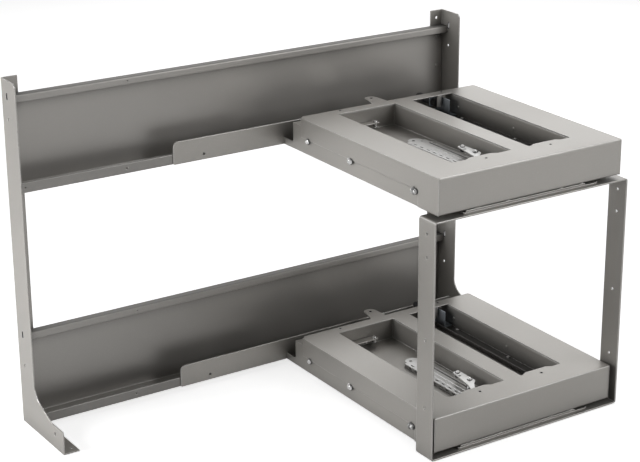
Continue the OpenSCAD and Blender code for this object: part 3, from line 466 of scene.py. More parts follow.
paints = {
    "warmGreyPaint": dict(color=(0.468, 0.449, 0.42), dark=(0.442, 0.425, 0.399),
                          edgeColor=(0.86, 0.85, 0.83), edgeAmount=0.95, edgeBreakup=0.2, edgeRadius=0.0021,
                          fleck=0.16, rough=(0.36, 0.46), bump=0.10,
                          bendAmount=0.85, bendColor=(0.80, 0.785, 0.76), shade=0.42),
    "railPaint": dict(color=(0.455, 0.438, 0.415), dark=(0.43, 0.415, 0.394), edgeColor=(0.80, 0.79, 0.77),
                      edgeAmount=0.85, edgeBreakup=0.2, edgeRadius=0.0024, fleck=0.16, rough=(0.36, 0.46),
                      bump=0.10, bendAmount=0.15, bendColor=(0.60, 0.59, 0.57), shade=0.15,
                      # the darker colours on the top flange, under the upper lip and on the lower lip are
                      # painted shade
                      dust=0.85, dustColor=(0.33, 0.32, 0.305), dustRange=(0.10, 0.11),
                      topShade=(0.105, 0.14, 0.0, 1.0), lowShade=(0.0278, 0.0268, 0.0, 0.28),
                      lipRange=(0.232, 0.228)),
    # the damper rail's near-black colour is painted shade
    "darkShadePaint": dict(color=(0.10, 0.098, 0.094), dark=(0.08, 0.078, 0.075), edgeColor=(0.52, 0.515, 0.50),
                      edgeAmount=0.9, edgeBreakup=0.35, edgeRadius=0.0008, fleck=0.1, rough=(0.3, 0.42),
                      bump=0.12, bendAmount=0.9, bendColor=(0.55, 0.545, 0.53), shade=0.5),
}
metals = {
    "stripZinc": dict(color=(0.71, 0.705, 0.695), dark=(0.65, 0.647, 0.64), stainColor=(0.60, 0.59, 0.57),
                      stain=0.3, edgeColor=(0.95, 0.95, 0.945), edgeRadius=0.0006, metal=0.65,
                      rough=(0.29, 0.37), bump=0.02, spangle=420.0, streak=260.0),
    "brightZinc": dict(color=(0.82, 0.82, 0.815), dark=(0.72, 0.72, 0.715), stainColor=(0.62, 0.61, 0.58),
                       stain=0.3, edgeColor=(0.95, 0.95, 0.945), edgeRadius=0.0005, metal=0.9,
                       rough=(0.20, 0.30), bump=0.05, spangle=420.0, streak=260.0),
    "slideZinc": dict(color=(0.66, 0.67, 0.685), dark=(0.52, 0.535, 0.55), stainColor=(0.5, 0.5, 0.48),
                      stain=0.5, edgeColor=(0.85, 0.855, 0.86), edgeRadius=0.0005, metal=0.85,
                      rough=(0.3, 0.44), bump=0.06, spangle=260.0, streak=340.0),
    "blueZinc": dict(color=(0.60, 0.66, 0.73), dark=(0.48, 0.54, 0.62), stainColor=(0.5, 0.5, 0.44),
                     stain=0.3, edgeColor=(0.78, 0.84, 0.9), edgeRadius=0.0007, metal=0.8,
                     rough=(0.28, 0.42), bump=0.06, spangle=300.0, streak=240.0),
    "pinNickel": dict(color=(0.94, 0.935, 0.925), dark=(0.88, 0.875, 0.865), stainColor=(0.8, 0.79, 0.77),
                      stain=0.2, edgeColor=(0.96, 0.96, 0.955), edgeRadius=0.0003, metal=0.45,
                      rough=(0.14, 0.22), bump=0.02, spangle=900.0, streak=500.0),
    "polishedSteel": dict(color=(0.80, 0.80, 0.80), dark=(0.70, 0.70, 0.70), stainColor=(0.6, 0.58, 0.54),
                          stain=0.3, edgeColor=(0.95, 0.95, 0.95), edgeRadius=0.0003, metal=1.0,
                          rough=(0.12, 0.24), bump=0.08, spangle=900.0, streak=500.0),
}
plastics = {
    # real black plastic, and also the colour of the black pieces that stand in for shade in holes, slots and
    # under heads
    "blackPlasticAndShade": dict(color=(0.022, 0.022, 0.024), dark=(0.034, 0.034, 0.036),
                         edgeColor=(0.09, 0.09, 0.095), rough=(0.34, 0.5)),
}


def darker(look, share, **changes):  # the same paint, where the photograph shows less light on it
    labels = [label for label in ("color", "dark", "dustColor") if label in look]
    return {**look, **{label: tuple(part * share for part in look[label]) for label in labels}, **changes}


# shaded copies of the paints: their darker colours are painted shade
paints["shadedFramePaint"] = darker(paints["warmGreyPaint"], 0.90)
paints["shadedLowerPaint"] = darker(paints["warmGreyPaint"], 0.93, shade=0.62)
paints["shadedLowerRailPaint"] = darker(paints["railPaint"], 0.88)

materials = {}
for makeFinish, looks in ((makePaint, paints), (makeZinc, metals), (makePlastic, plastics)):
    materials.update({name: makeFinish(name, look) for name, look in looks.items()})
print("materials built:", ", ".join(materials))

plainFinish = "warmGreyPaint"
nodeFinishes = (  # the first word that is in a node's name gives its finish
    ("cage", "polishedSteel"), ("slide_rivets", plainFinish), ("slide", "slideZinc"),
    ("carriage_rivets", "slideZinc"), ("damper_rail", "darkShadePaint"), ("upper_rail", "railPaint"),
    ("rail_rivets", "railPaint"), ("lower_rail", "shadedLowerRailPaint"), ("front_frame", "shadedFramePaint"),
    ("lower_deck", "shadedLowerPaint"), ("lower_tray", "shadedLowerPaint"), ("damper_bracket", "blueZinc"),
    ("cylinder", "blackPlasticAndShade"), ("roller", "blackPlasticAndShade"), ("damper_rod", "polishedSteel"),
    ("pivots", "polishedSteel"), ("screws", "brightZinc"), ("studs", "brightZinc"),
    ("bolts", "brightZinc"), ("catch", "brightZinc"),
)
for name, node in nodes.items():
    finish = next((finish for word, finish in nodeFinishes if word in name), plainFinish)
    node.data.materials.clear()
    node.data.materials.append(materials[finish])
print("finishes on the CAD nodes set")


# Modelling by hand: parts are selected by their place, then shaped with edit-mode operators

halfWidth, halfDepth = 434.5, 255.5  # the origin is on the floor, under the middle of the object
turns = {"X": (0, math.pi / 2, 0), "Y": (math.pi / 2, 0, 0), "Z": (0, 0, 0)}
upright = turns["Z"]
headSides, boreSides = 28, 24  # faces round a small head and a bore
closeBy, mergeBy = 1e-5, 1e-6  # in metres
hair = 0.01  # in millimetres
facing, square = 0.9, 0.99  # least parts of a normal and of an edge's direction along an axis


def at(x, y, z):  # the drawing's millimetres, from the left leg's face, the back plane and the floor
    return Vector(((x - halfWidth) * mm, (y + halfDepth) * mm, z * mm))


def near(first, second):
    return abs(first - second) < closeBy


def along(axis):  # a test for edges that run along an axis
    return lambda middle, way: abs(way["XYZ".index(axis)]) > square


def activate(piece):
    deselectAll()
    piece.select_set(True)
    bpy.context.view_layer.objects.active = piece
    return piece


def enterEdit(piece):
    if bpy.context.active_object is not piece or piece.mode != "EDIT":
        activate(piece)
        bpy.ops.object.mode_set(mode="EDIT")
    return bmesh.from_edit_mesh(piece.data)


def leaveEdit():
    bpy.ops.object.mode_set(mode="OBJECT")


def nameActive(name):
    piece = bpy.context.active_object
    piece.name = name
    piece.data.name = name
    return piece


def settle(piece):
    activate(piece)
    bpy.ops.object.transform_apply(location=True, rotation=True, scale=True)
    return piece


def startBlock(name, low, high):
    deselectAll()
    bpy.ops.mesh.primitive_cube_add(size=1, location=(low + high) / 2)
    piece = nameActive(name)
    piece.scale = high - low
    return settle(piece)


def startRound(name, radius, depth, centre, axis="Z", vertices=headSides):
    deselectAll()
    bpy.ops.mesh.primitive_cylinder_add(vertices=vertices, radius=radius * mm, depth=depth * mm,
                                        location=centre, rotation=turns[axis])
    return settle(nameActive(name))


def pick(piece, kind, test):
    enterEdit(piece)
    bpy.ops.mesh.select_mode(type=kind)
    bpy.ops.mesh.select_all(action="DESELECT")
    shape = bmesh.from_edit_mesh(piece.data)
    for part in (shape.faces if kind == "FACE" else shape.edges):
        ends = part.verts
        middle = sum((v.co for v in ends), Vector()) / len(ends)
        way = part.normal if kind == "FACE" else (ends[1].co - ends[0].co).normalized()
        if test(middle, way):
            part.select_set(True)
    bmesh.update_edit_mesh(piece.data)


def pickFaces(piece, test):
    pick(piece, "FACE", test)


def pickEdges(piece, test):
    pick(piece, "EDGE", test)


def pickEnd(piece, axis, sign):
    end = sign * max(sign * v.co[axis] for v in enterEdit(piece).verts)
    pickFaces(piece, lambda c, n: n[axis] * sign > facing and abs(c[axis] - end) < mergeBy)


def pull(x=0.0, y=0.0, z=0.0):
    bpy.ops.mesh.extrude_region_move(TRANSFORM_OT_translate={"value": (x * mm, y * mm, z * mm)})


def slide(x=0.0, y=0.0, z=0.0):
    bpy.ops.transform.translate(value=(x * mm, y * mm, z * mm))


def squeeze(x, y=1, z=1):
    bpy.ops.transform.resize(value=(x, y, z))


def insetFaces(width):
    bpy.ops.mesh.inset(thickness=width * mm)


def roundEdges(piece, width, test, segments=5, **settings):
    pickEdges(piece, test)
    bpy.ops.mesh.bevel(offset=width * mm, segments=segments, affect="EDGES", **settings)


def cutAt(piece, point, normal):
    enterEdit(piece)
    bpy.ops.mesh.select_all(action="SELECT")
    bpy.ops.mesh.bisect(plane_co=point, plane_no=normal)


def turnProfile(piece, axis, sign, steps):  # each step grows the end by a length, then scales its radius
    for length, share in steps:
        pickEnd(piece, axis, sign)
        move = [0, 0, 0]
        move[axis] = length * sign
        pull(*move)
        if share != 1:
            values = [share] * 3
            values[axis] = 1
            squeeze(*values)
    leaveEdit()


def discard(piece):
    activate(piece)
    bpy.ops.object.delete()


def modify(piece, kind, **settings):
    activate(piece)
    modifier = piece.modifiers.new(kind, kind)
    for label, value in settings.items():
        setattr(modifier, label, value)
    bpy.ops.object.modifier_apply(modifier=kind)


def carve(piece, cutter):
    modify(piece, "BOOLEAN", operation="DIFFERENCE", object=cutter)
    discard(cutter)
    return activate(piece)


def softenEdges(piece, width, segments=2, angle=32):
    modify(piece, "BEVEL", width=width * mm, segments=segments, limit_method="ANGLE",
           angle_limit=math.radians(angle))


def mergeAll(piece):
    enterEdit(piece)
    bpy.ops.mesh.select_all(action="SELECT")
    bpy.ops.mesh.remove_doubles(threshold=mergeBy)


def complete(piece, finish, body, smoothAngle=35):
    mergeAll(piece)
    bpy.ops.mesh.normals_make_consistent(inside=False)
    leaveEdit()
    bpy.ops.object.shade_smooth_by_angle(angle=math.radians(smoothAngle))
    modify(piece, "WEIGHTED_NORMAL", weight=100, keep_sharp=True)  # flat faces stay flat beside soft edges
    piece.data.materials.clear()
    piece.data.materials.append(materials[finish])
    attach(piece, body)


def completeNode(piece, finish, body, node):  # stands in for the CAD node of that name
    complete(piece, finish, body)
    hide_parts(node)


def copyTo(piece, name, place, turn):
    activate(piece)
    bpy.ops.object.duplicate(linked=False)
    copy = nameActive(name)
    copy.rotation_euler = turn
    copy.location = place
    return settle(copy)


def joinAll(pieces, name):
    deselectAll()
    for piece in pieces:
        piece.select_set(True)
    bpy.context.view_layer.objects.active = pieces[0]
    bpy.ops.object.join()
    return nameActive(name)


# Screws and studs: a domed head with a cross recess, a shank and a rolled thread

screwKinds = {  # radii and lengths; a recess of 0 leaves the head plain, a thread of 0 gives a stud
    "traySize": dict(head=3.2, height=1.9, crown=1.1, recess=1.9, slot=0.55,
                     shank=1.6, clamped=2.0, thread=2.2),
    "armSize": dict(head=4.25, height=2.1, crown=1.2, recess=2.4, slot=0.7,
                    shank=2.0, clamped=3.6, thread=2.8),
    "stopSize": dict(head=4.0, height=2.8, crown=1.9, recess=2.2, slot=0.7,
                     shank=2.0, clamped=6.0, thread=2.0),
    "studSize": dict(head=4.5, height=2.5, crown=2.1, recess=0.0, slot=0.0,
                     shank=2.0, clamped=4.1, thread=0.0),
    "boltSize": dict(head=5.0, height=3.0, crown=1.0, recess=2.6, slot=0.9,
                     shank=3.0, clamped=6.0, thread=4.5),
}
screwDetail = {  # profile steps are a length and a radius share
    "pitch": 0.5, "root": 0.86, "tip": [(0.3, 0.86), (0.5, 0.7)],
    "plainTail": [(0.05, 1.6), (0.8, 1.0), (0.15, 0.9)], "recessDepth": 1.5, "recessTaper": 0.55,
}


def makeScrew(kind):
    look = screwKinds[kind]
    detail = screwDetail
    piece = startRound("proto_" + kind, look["head"], look["height"], (0, 0, look["height"] / 2 * mm))
    roundEdges(piece, look["crown"], lambda c, d: c.z > (look["height"] - hair) * mm)
    pickEnd(piece, 2, -1)
    insetFaces(look["head"] - look["shank"])
    turnProfile(piece, 2, -1, [(look["clamped"], 1.0)])
    if look["thread"]:
        ringCount = round(look["thread"] / detail["pitch"]) - 1  # the tip takes the place of the last
        ring = [(detail["pitch"] / 2, share) for share in (detail["root"], 1 / detail["root"])]
        turnProfile(piece, 2, -1, ring * ringCount + detail["tip"])
    else:
        turnProfile(piece, 2, -1, detail["plainTail"])
    slots = ((look["slot"], look["recess"]), (look["recess"], look["slot"])) if look["recess"] else ()
    for width, length in slots:
        size = Vector((width, length, detail["recessDepth"])) * mm
        top = Vector((0, 0, look["height"] * mm))
        cutter = startBlock("recessCutter", top - size, top + size)
        pickEnd(cutter, 2, -1)
        squeeze(*[detail["recessTaper"]] * 3)
        leaveEdit()
        carve(piece, cutter)
    return piece


def placeScrews(kind, name, places, body, node):
    proto = makeScrew(kind)
    copies = [copyTo(proto, f"{name}_{i}", place, turn) for i, (place, turn) in enumerate(places)]
    discard(proto)
    completeNode(joinAll(copies, name), "brightZinc", body, node)


screwPlaces = {  # the drawing's millimetres, with heights above each level's foot
    "tray": ((787, -167, 24.5), (787, -316, 24.5), (779.3, -133, 26.5), (657, -259, 24.5), (657, -404, 24.5)),
    "arm": ((516, -54, 9.5), (621, -54, 9.5), (726, -54, 9.5), (831, -54, 9.5)),
    "armTurn": (math.pi / 2, 0, 0.2),
    "bolt": ((566, -496, 1.5), (626, -496, 1.5), (735, -496, 1.5), (778, -496, 1.5)),
    "studDepths": (-134, -264, -445), "studHeight": 24.5,
    "studSides": ((485.1, -1, 0.3, 0.5), (858.9, 1, 0.2, 0.4)),  # face, its side, first turn and turn step
    "shadeDisc": (5.3, 0.6),  # radius and thickness of the black disc under each stud's head, painted shade
}
trayScrews, armScrews, deckBolts, studs, shadeDiscs = [], [], [], [], []
for height in levelHeights.values():
    trayScrews += [(at(x, y, height + z), upright) for x, y, z in screwPlaces["tray"]]
    armScrews += [(at(x, y, height + z), screwPlaces["armTurn"]) for x, y, z in screwPlaces["arm"]]
    deckBolts += [(at(x, y, height + z), upright) for x, y, z in screwPlaces["bolt"]]
    for i, y in enumerate(screwPlaces["studDepths"]):
        z = height + screwPlaces["studHeight"]
        radius, sheet = screwPlaces["shadeDisc"]
        for x, side, first, step in screwPlaces["studSides"]:
            studs.append((at(x, y, z), (first + step * i, side * math.pi / 2, 0)))
            # a black disc under each stud's head: painted shade
            shadeDiscs.append(startRound("studShadeDisc", radius, sheet, at(x - side * sheet / 2, y, z), "X"))
placeScrews("traySize", "trayScrewSet", trayScrews, "back_frame", "tray_screws")
placeScrews("armSize", "armScrewSet", armScrews, "back_frame", "arm_screws")
placeScrews("studSize", "guideStudSet", studs, "back_frame", "guide_studs")
placeScrews("boltSize", "deckBoltSet", deckBolts, "pull_out", "deck_bolts")
complete(joinAll(shadeDiscs, "studShadeDiscs"), "blackPlasticAndShade", "back_frame")
print("screws and studs made")


# Painted shade: black rings in the decks' holes and oblong ones in the uprights' slots, standing in for the
# shade inside them

holeAndSlotShades = {
    "deckHoles": ((610.5, -461, 2.5), (742, -461, 2.5), (565, -112, 2.5), (781, -112, 2.5), (654, -77, 3.0)),
    "deckTop": 60.25, "deckDepth": 1.7, "cutterDepth": 4, "wall": 0.9, "roundness": 0.98,
    "slotY": -22, "slotHeights": (162.6, 567.6), "slotSize": (1.9, 5.0, 13.0),
    "slotNodes": {"left_upright": ("leftSlotShades", 1.0), "right_upright": ("rightSlotShades", 863.0)},
}


def makeSlotShade(centre):  # an oblong black ring along X: painted shade inside a slot
    outer = Vector(holeAndSlotShades["slotSize"]) / 2
    inner = Vector((outer.x * 2, outer.y - holeAndSlotShades["wall"], outer.z - holeAndSlotShades["wall"]))
    blocks = []
    for name, reach in (("slotShadeRing", outer), ("slotShadeCutter", inner)):
        block = startBlock(name, centre - reach * mm, centre + reach * mm)
        roundEdges(block, reach.y * holeAndSlotShades["roundness"], along("X"), segments=6)
        leaveEdit()
        blocks.append(block)
    return carve(*blocks)


# a black ring in a deck hole: painted shade inside it
def makeHoleShade(x, y, z, radius):
    holeShadeRing = startRound("holeShadeRing", radius, holeAndSlotShades["deckDepth"], at(x, y, z))
    return carve(holeShadeRing, startRound("holeShadeCutter", radius - holeAndSlotShades["wall"], holeAndSlotShades["cutterDepth"], at(x, y, z)))


for level, height in levelHeights.items():
    holeShadeRings = [makeHoleShade(x, y, height + holeAndSlotShades["deckTop"], radius) for x, y, radius in holeAndSlotShades["deckHoles"]]
    complete(joinAll(holeShadeRings, level + "DeckHoleShades"), "blackPlasticAndShade", "pull_out")
for node, (name, x) in holeAndSlotShades["slotNodes"].items():
    rings = [makeSlotShade(at(x, holeAndSlotShades["slotY"], z)) for z in holeAndSlotShades["slotHeights"]]
    complete(joinAll(rings, name), "blackPlasticAndShade", "back_frame")
print("liners made")


# Catch strip: a folded zinc rail with a tongue, two stiffening ribs, a long slot and a row of small ones

catchStrip = {
    "left": 612, "right": 650, "front": -418, "rear": -245, "top": 30, "sheet": 1.5,
    "floor": 23, "foot": 664, "bend": 1.3, "softEdge": 0.22,
    "tongueSteps": ((0.6, 0.8), (4.4, 0.97), (3.6, 0.9), (2.6, 0.78), (1.8, 0.62), (1.0, 0.55)),
    "ribs": ((622, 625), (632, 635)), "ribEnds": (-405, -292), "ribInset": 0.7, "ribHeight": 0.7,
    "slot": (642, 645.4, -384, -264), "slotRound": 1.4, "cutHeights": (26, 34),
    "holes": ((627, -242, 3.2), (638, -251, 2.1), (644.5, -389, 2.2)), "holeDepth": 8,
    "smallSlots": 8, "smallSlotStart": 12, "smallSlotStep": 18, "smallSlotLength": 9,
    "smallSlotSides": ((4, 6.5, 26, 34), (-1, 1.7, 25, 27.4)),  # in the top and in the left wall
    "slotShadeGap": (0.1, 0.8), "slotShadeHeights": (28.7, 29.95),
}


def bendStripSheet(level, height):
    look = catchStrip
    sheet, under = look["sheet"], look["top"] - look["sheet"]
    piece = startBlock(level + "StripSheet", at(look["left"], look["front"], height + under),
                       at(look["right"], look["rear"], height + look["top"]))
    wallLeft, wallRight = look["left"] + sheet, look["right"] - sheet
    for x in (wallLeft, wallRight, *look["ribs"][0], *look["ribs"][1]):
        cutAt(piece, at(x, 0, 0), (1, 0, 0))
    low, leftX, rightX = at(0, 0, height + under).z, at(wallLeft, 0, 0).x, at(wallRight, 0, 0).x
    pickFaces(piece, lambda c, n: n.y > facing and leftX < c.x < rightX)
    for length, share in look["tongueSteps"]:
        pull(y=length)
        squeeze(share)
    for y in look["ribEnds"]:
        cutAt(piece, at(0, y, 0), (0, 1, 0))
    ribStart, ribStop = (at(0, y, 0).y for y in look["ribEnds"])
    for rib in look["ribs"]:
        ribLeft, ribRight = (at(x, 0, 0).x for x in rib)
        pickFaces(piece, lambda c, n: n.z > facing and ribStart < c.y < ribStop and ribLeft < c.x < ribRight)
        insetFaces(look["ribInset"])
        slide(z=look["ribHeight"])
    pickFaces(piece, lambda c, n: n.z < -facing and c.x < leftX)
    pull(z=look["floor"] - under)
    pickFaces(piece, lambda c, n: n.z < -facing and c.x > rightX and c.z > low - mm)
    pull(z=look["floor"] - under + sheet)
    pull(z=-sheet)
    footTop = at(0, 0, height + look["floor"] + sheet).z
    pickFaces(piece, lambda c, n: n.x > facing and c.z < footTop)
    pull(x=look["foot"] - look["right"])
    corners = [at(look[side], look["rear"], height + look["top"]) for side in ("left", "right")]
    roundEdges(piece, look["bend"], lambda c, d: abs(d.y) > square and any(
        near(c.x, corner.x) and near(c.z, corner.z) and c.y < corner.y for corner in corners), segments=4)
    leaveEdit()
    return piece


def makeStripCutters(height):
    look = catchStrip
    left, right, front, rear = look["slot"]
    low, high = (height + z for z in look["cutHeights"])
    slotCutter = startBlock("slotCutter", at(left, front, low), at(right, rear, high))
    roundEdges(slotCutter, look["slotRound"], along("Z"))
    leaveEdit()
    cutters = [slotCutter]
    for x, y, radius in look["holes"]:
        middle = at(x, y, height + look["top"])
        cutters.append(startRound("holeCutter", radius, look["holeDepth"], middle, vertices=boreSides))
    for i in range(look["smallSlots"]):
        slotRear = look["rear"] - look["smallSlotStart"] - look["smallSlotStep"] * i
        slotFront = slotRear - look["smallSlotLength"]
        for x0, x1, z0, z1 in look["smallSlotSides"]:
            cutters.append(startBlock("smallCutter", at(look["left"] + x0, slotFront, height + z0),
                                      at(look["left"] + x1, slotRear, height + z1)))
    return joinAll(cutters, "stripCutters")


def makeStrip(level, height):
    look = catchStrip
    piece = carve(bendStripSheet(level, height), makeStripCutters(height))
    softenEdges(piece, look["softEdge"])
    completeNode(piece, "stripZinc", "back_frame", level + "_catch_strip")
    # a black block under the long slot: painted shade seen through it
    left, right, front, rear = look["slot"]
    (sideGap, endGap), (low, high) = look["slotShadeGap"], look["slotShadeHeights"]
    slotShade = startBlock(level + "StripSlotShade", at(left + sideGap, front + endGap, height + low),
                       at(right - sideGap, rear - endGap, height + high))
    complete(slotShade, "blackPlasticAndShade", "back_frame")


# Catch lever: a rounded plate with a hook pin, a post through it and a return spring on the post's collar

catchLever = {
    "left": 630.5, "right": 651.5, "front": -396, "rear": -348.5, "low": 44.2, "sheet": 2.0,
    "taper": 8, "armSteps": ((-5.5, -9, 0.62), (-6.5, -13, 0.72), (-1.5, -3.5, 0.8)),
    "corner": 4.2, "softEdge": 0.35, "cutDepth": 8, "hole": (639.6, -367.5, 2.7), "postBore": 2.08,
    "pin": (644.5, -355), "pinRadius": 2.0, "pinLength": 7.5, "pinUp": 1.0, "pinHead": 3.3, "pinCrown": 2.4,
    "post": (644.5, -389), "postTop": 46.4, "postHead": 3.7, "postCrown": 2.6,
    "collarRadius": 3.5, "collarLow": 30.2, "collarHeight": 13.6, "collarRound": 0.35, "collarRim": 0.2,
    "postRadius": 2.0, "postUp": 2.6, "postDown": 1.5, "postShoulder": 0.2,
    "rivetFoot": [(0.02, 1.5), (0.7, 1), (0.3, 0.8)], "headRound": 0.82,
    "shadeDiscRim": 0.9, "pinShadeDisc": 0.6, "postShadeDisc": 0.5,
    "springRadius": 4.4, "springWire": 0.55, "springTurns": 6, "springPitch": 1.35, "springLow": 31.2,
    "springSteps": 20, "springSides": 10, "springLeg": 6.0, "springEnd": 0.7, "springSmooth": 60,
}


def makeDome(name, radius, rise, centre):  # a pin's rounded head, standing on centre
    piece = startRound(name, radius, rise, centre + Vector((0, 0, rise / 2 * mm)))
    topZ = centre.z + (rise - hair) * mm
    roundEdges(piece, catchLever["headRound"] * min(radius, rise), lambda c, d: c.z > topZ, segments=6)
    leaveEdit()
    return piece


def makeShadeDisc(name, headRadius, sheet, centre):  # a black disc that lies on centre, under a head of that radius: painted shade under the head
    middle = centre + Vector((0, 0, sheet / 2 * mm))
    return startRound(name, headRadius + catchLever["shadeDiscRim"], sheet, middle)


def makeLever(level, height):
    look = catchLever
    low = height + look["low"]
    plateTop = low + look["sheet"]
    piece = startBlock(level + "LeverPlate", at(look["left"], look["front"], low),
                       at(look["right"], look["rear"], plateTop))
    pickEnd(piece, 1, -1)
    for x, y, share in look["armSteps"]:
        pull(x, y)
        squeeze(share)
    corner = at(look["left"], look["rear"], 0)
    pickEdges(piece, lambda c, d: abs(d.z) > square and near(c.x, corner.x) and near(c.y, corner.y))
    slide(x=look["taper"])
    roundEdges(piece, look["corner"], along("Z"), clamp_overlap=True)
    leaveEdit()
    boreZ = low + look["sheet"] / 2
    cutters = [startRound("leverCutter", radius, look["cutDepth"], at(x, y, boreZ))
               for x, y, radius in (look["hole"], (*look["post"], look["postBore"]))]
    carve(piece, joinAll(cutters, "leverCutters"))
    softenEdges(piece, look["softEdge"], 3)
    x, y = look["pin"]
    shankMiddle = at(x, y, low + look["pinUp"] - look["pinLength"] / 2)
    shank = startRound(level + "HookShank", look["pinRadius"], look["pinLength"], shankMiddle,
                       vertices=boreSides)
    turnProfile(shank, 2, -1, look["rivetFoot"])
    # a black disc under the hook pin's head: painted shade
    shadeDisc = makeShadeDisc(level + "HookShadeDisc", look["pinHead"], look["pinShadeDisc"], at(x, y, plateTop))
    headFoot = at(x, y, plateTop + look["pinShadeDisc"])
    head = makeDome(level + "HookHead", look["pinHead"], look["pinCrown"], headFoot)
    body = level + "_catch_lever"
    completeNode(piece, "stripZinc", body, body)
    complete(joinAll([shank, head], level + "HookPin"), "pinNickel", body)
    complete(shadeDisc, "blackPlasticAndShade", body)


def makeSpring(level, height):  # a helix by the Screw modifier, its two ends closed and turned out as legs
    look = catchLever
    deselectAll()
    bpy.ops.mesh.primitive_circle_add(vertices=look["springSides"], radius=look["springWire"] * mm,
                                      location=(look["springRadius"] * mm, 0, 0), rotation=turns["Y"])
    piece = settle(nameActive(level + "LeverSpring"))
    modify(piece, "SCREW", axis="Z", iterations=look["springTurns"], screw_offset=look["springPitch"] * mm,
           steps=look["springSteps"], render_steps=look["springSteps"], use_merge_vertices=False)
    mergeAll(piece)
    bpy.ops.mesh.select_mode(type="EDGE")
    bpy.ops.mesh.select_all(action="DESELECT")
    bpy.ops.mesh.select_non_manifold()
    bpy.ops.mesh.fill_holes(sides=0)  # closes the wire's two ends
    leaveEdit()
    springTop = look["springTurns"] * look["springPitch"] - look["springEnd"]
    for sign, limit in ((-1, look["springEnd"] * mm), (1, springTop * mm)):
        pickFaces(piece, lambda c, n: (
            abs(n.y) > facing and (c.z - limit) * sign > 0 and near(c.y, 0) and c.x > 0))
        pull(y=-look["springLeg"] * sign)
    leaveEdit()
    piece.location = at(*look["post"], height + look["springLow"])
    settle(piece)
    complete(piece, "polishedSteel", "back_frame", look["springSmooth"])


def makePosts():
    look = catchLever
    posts, postShadeDiscs = [], []
    x, y = look["post"]
    axis = at(x, y, 0).xy
    shoulder = (look["postShoulder"], look["postRadius"] / look["collarRadius"])
    for level, height in levelHeights.items():
        post = startRound(level + "LeverPost", look["collarRadius"], look["collarHeight"],
                          at(x, y, height + look["collarLow"] + look["collarHeight"] / 2))
        turnProfile(post, 2, 1, [shoulder, (look["postUp"], 1)])
        turnProfile(post, 2, -1, [shoulder, (look["postDown"], 1), *look["rivetFoot"]])
        rim = (look["collarRadius"] - look["collarRim"]) * mm
        roundEdges(post, look["collarRound"],
                   lambda c, d: abs(d.z) < 1 - facing and (c.xy - axis).length > rim, segments=2)
        leaveEdit()
        postTop = height + look["postTop"]
        headFoot = at(x, y, postTop + look["postShadeDisc"])
        posts += [post, makeDome(level + "PostHead", look["postHead"], look["postCrown"], headFoot)]
        # a black disc under the post's head: painted shade
        postShadeDiscs.append(makeShadeDisc(level + "PostShadeDisc", look["postHead"], look["postShadeDisc"],
                                      at(x, y, postTop)))
        makeSpring(level, height)
    completeNode(joinAll(posts, "leverPostSet"), "pinNickel", "back_frame", "lever_pivots")
    complete(joinAll(postShadeDiscs, "leverPostShadeDiscs"), "blackPlasticAndShade", "back_frame")


for level, height in levelHeights.items():
    makeStrip(level, height)
    makeLever(level, height)
makePosts()
print("catches made")


# Stop bar across the rear of the left well: an angle with a screw and two rivets

stopBar = {
    "left": 552, "right": 629, "face": -127, "rear": -125, "reach": -141, "low": 24, "top": 37, "sheet": 2,
    "bend": 2.2, "lipCorner": 3.0, "footCorner": 2.5, "softEdge": 0.3, "screw": (623, -135), "screwTurn": 0.4,
    "rivets": (564, 611), "rivetZ": 29, "rivetHead": 3.2, "rivetRise": 1.2, "rivetCrown": 0.95,
    "rivetShank": 3.5,
}


def makeStopAngle(level, height):
    look = stopBar
    low, top = height + look["low"], height + look["top"]
    bar = startBlock(level + "StopAngle", at(look["left"], look["face"], low),
                     at(look["right"], look["rear"], top))
    flange = at(0, 0, top - look["sheet"])
    cutAt(bar, flange, (0, 0, 1))
    pickFaces(bar, lambda c, n: n.y < -facing and c.z > flange.z)
    pull(y=look["reach"] - look["face"])
    outer, lip, footZ = at(0, look["rear"], top), at(0, look["reach"], 0), at(0, 0, low + hair).z
    roundEdges(bar, look["bend"],
               lambda c, d: abs(d.x) > square and near(c.y, outer.y) and near(c.z, outer.z))
    roundEdges(bar, look["lipCorner"], lambda c, d: abs(d.z) > square and near(c.y, lip.y), segments=4)
    roundEdges(bar, look["footCorner"], lambda c, d: abs(d.y) > square and c.z < footZ, segments=4)
    leaveEdit()
    softenEdges(bar, look["softEdge"])
    completeNode(bar, "warmGreyPaint", "back_frame", level + "_stop_bar")


def makeStopRivet(name, x, height):
    look = stopBar
    middle = at(x, look["face"] - look["rivetRise"] / 2, height + look["rivetZ"])
    rivet = startRound(name, look["rivetHead"], look["rivetRise"], middle, "Y", boreSides)
    faceY = at(0, look["face"] - look["rivetRise"] + hair, 0).y
    roundEdges(rivet, look["rivetCrown"], lambda c, d: c.y < faceY, segments=4)
    pickEnd(rivet, 1, 1)
    insetFaces(look["rivetRise"])
    pull(y=look["rivetShank"])
    leaveEdit()
    return rivet


def makeStopBar(level, height):
    makeStopAngle(level, height)
    screwProto = makeScrew("stopSize")
    screwPlace = at(*stopBar["screw"], height + stopBar["top"])
    fixings = [copyTo(screwProto, level + "StopScrew", screwPlace, (0, 0, stopBar["screwTurn"]))]
    discard(screwProto)
    fixings += [makeStopRivet(f"{level}StopRivet{i}", x, height) for i, x in enumerate(stopBar["rivets"])]
    complete(joinAll(fixings, level + "StopFixings"), "brightZinc", "back_frame")


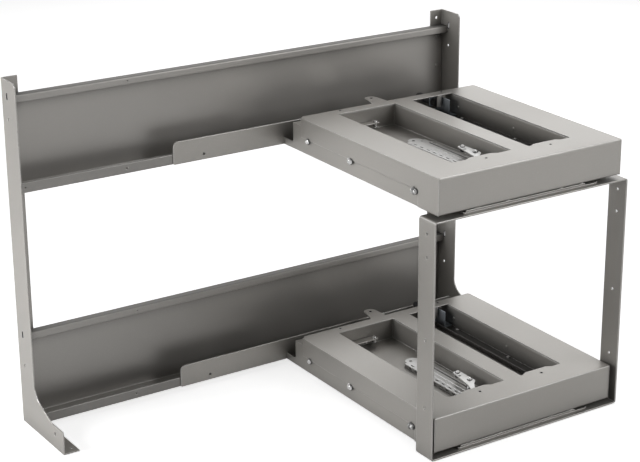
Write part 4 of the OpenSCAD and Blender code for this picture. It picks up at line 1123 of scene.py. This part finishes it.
for level, height in levelHeights.items():
    makeStopBar(level, height)
print("stop bars made")


# Damper cylinder: a ribbed plastic barrel with a flange against the bracket and a recessed mouth

damper = {
    "x": 766, "z": 45, "front": -122, "flange": -107, "flangeWidth": 2, "flangeStep": 0.02, "rear": -62,
    "radius": 7, "flangeRadius": 9, "ribStep": 4.2, "ribWidth": 2.4, "groove": 0.93, "grooveSlope": 0.2,
    "plainEnd": 3, "cap": 6, "capRadius": 5, "capSlope": 0.6, "capRound": (0.8, 0.82),
    "mouthRim": 0.5, "bore": 2.75, "boreDepth": 4.0, "softEdge": 0.3, "softAngle": 50, "sides": 36,
}


def makeDamper(level, height):
    look = damper
    first = look["flange"] - look["front"]
    middle = at(look["x"], look["front"] + first / 2, height + look["z"])
    piece = startRound(level + "DamperBarrel", look["radius"], first, middle, "Y", look["sides"])
    share, step = look["flangeRadius"] / look["radius"], look["flangeStep"]
    steps = [(step, share), (look["flangeWidth"] - 2 * step, 1), (step, 1 / share)]
    ribbed = look["rear"] - look["flange"] - look["flangeWidth"] - look["cap"] - look["plainEnd"]
    grooveWidth = look["ribStep"] - look["ribWidth"] - 2 * look["grooveSlope"]
    rib = [(look["ribWidth"], 1), (look["grooveSlope"], look["groove"]), (grooveWidth, 1),
           (look["grooveSlope"], 1 / look["groove"])]
    steps += rib * int(ribbed // look["ribStep"])
    capWidth = look["cap"] - look["capSlope"] - look["capRound"][0]
    steps += [(ribbed % look["ribStep"] + look["plainEnd"], 1),
              (look["capSlope"], look["capRadius"] / look["radius"]), (capWidth, 1), look["capRound"]]
    turnProfile(piece, 1, 1, steps)
    pickEnd(piece, 1, -1)
    insetFaces(look["mouthRim"])
    insetFaces(look["radius"] - look["mouthRim"] - look["bore"])
    pull(y=look["boreDepth"])
    leaveEdit()
    softenEdges(piece, look["softEdge"], angle=look["softAngle"])
    completeNode(piece, "blackPlasticAndShade", "back_frame", level + "_damper_cylinder")


for level, height in levelHeights.items():
    makeDamper(level, height)
print("damper barrels made")
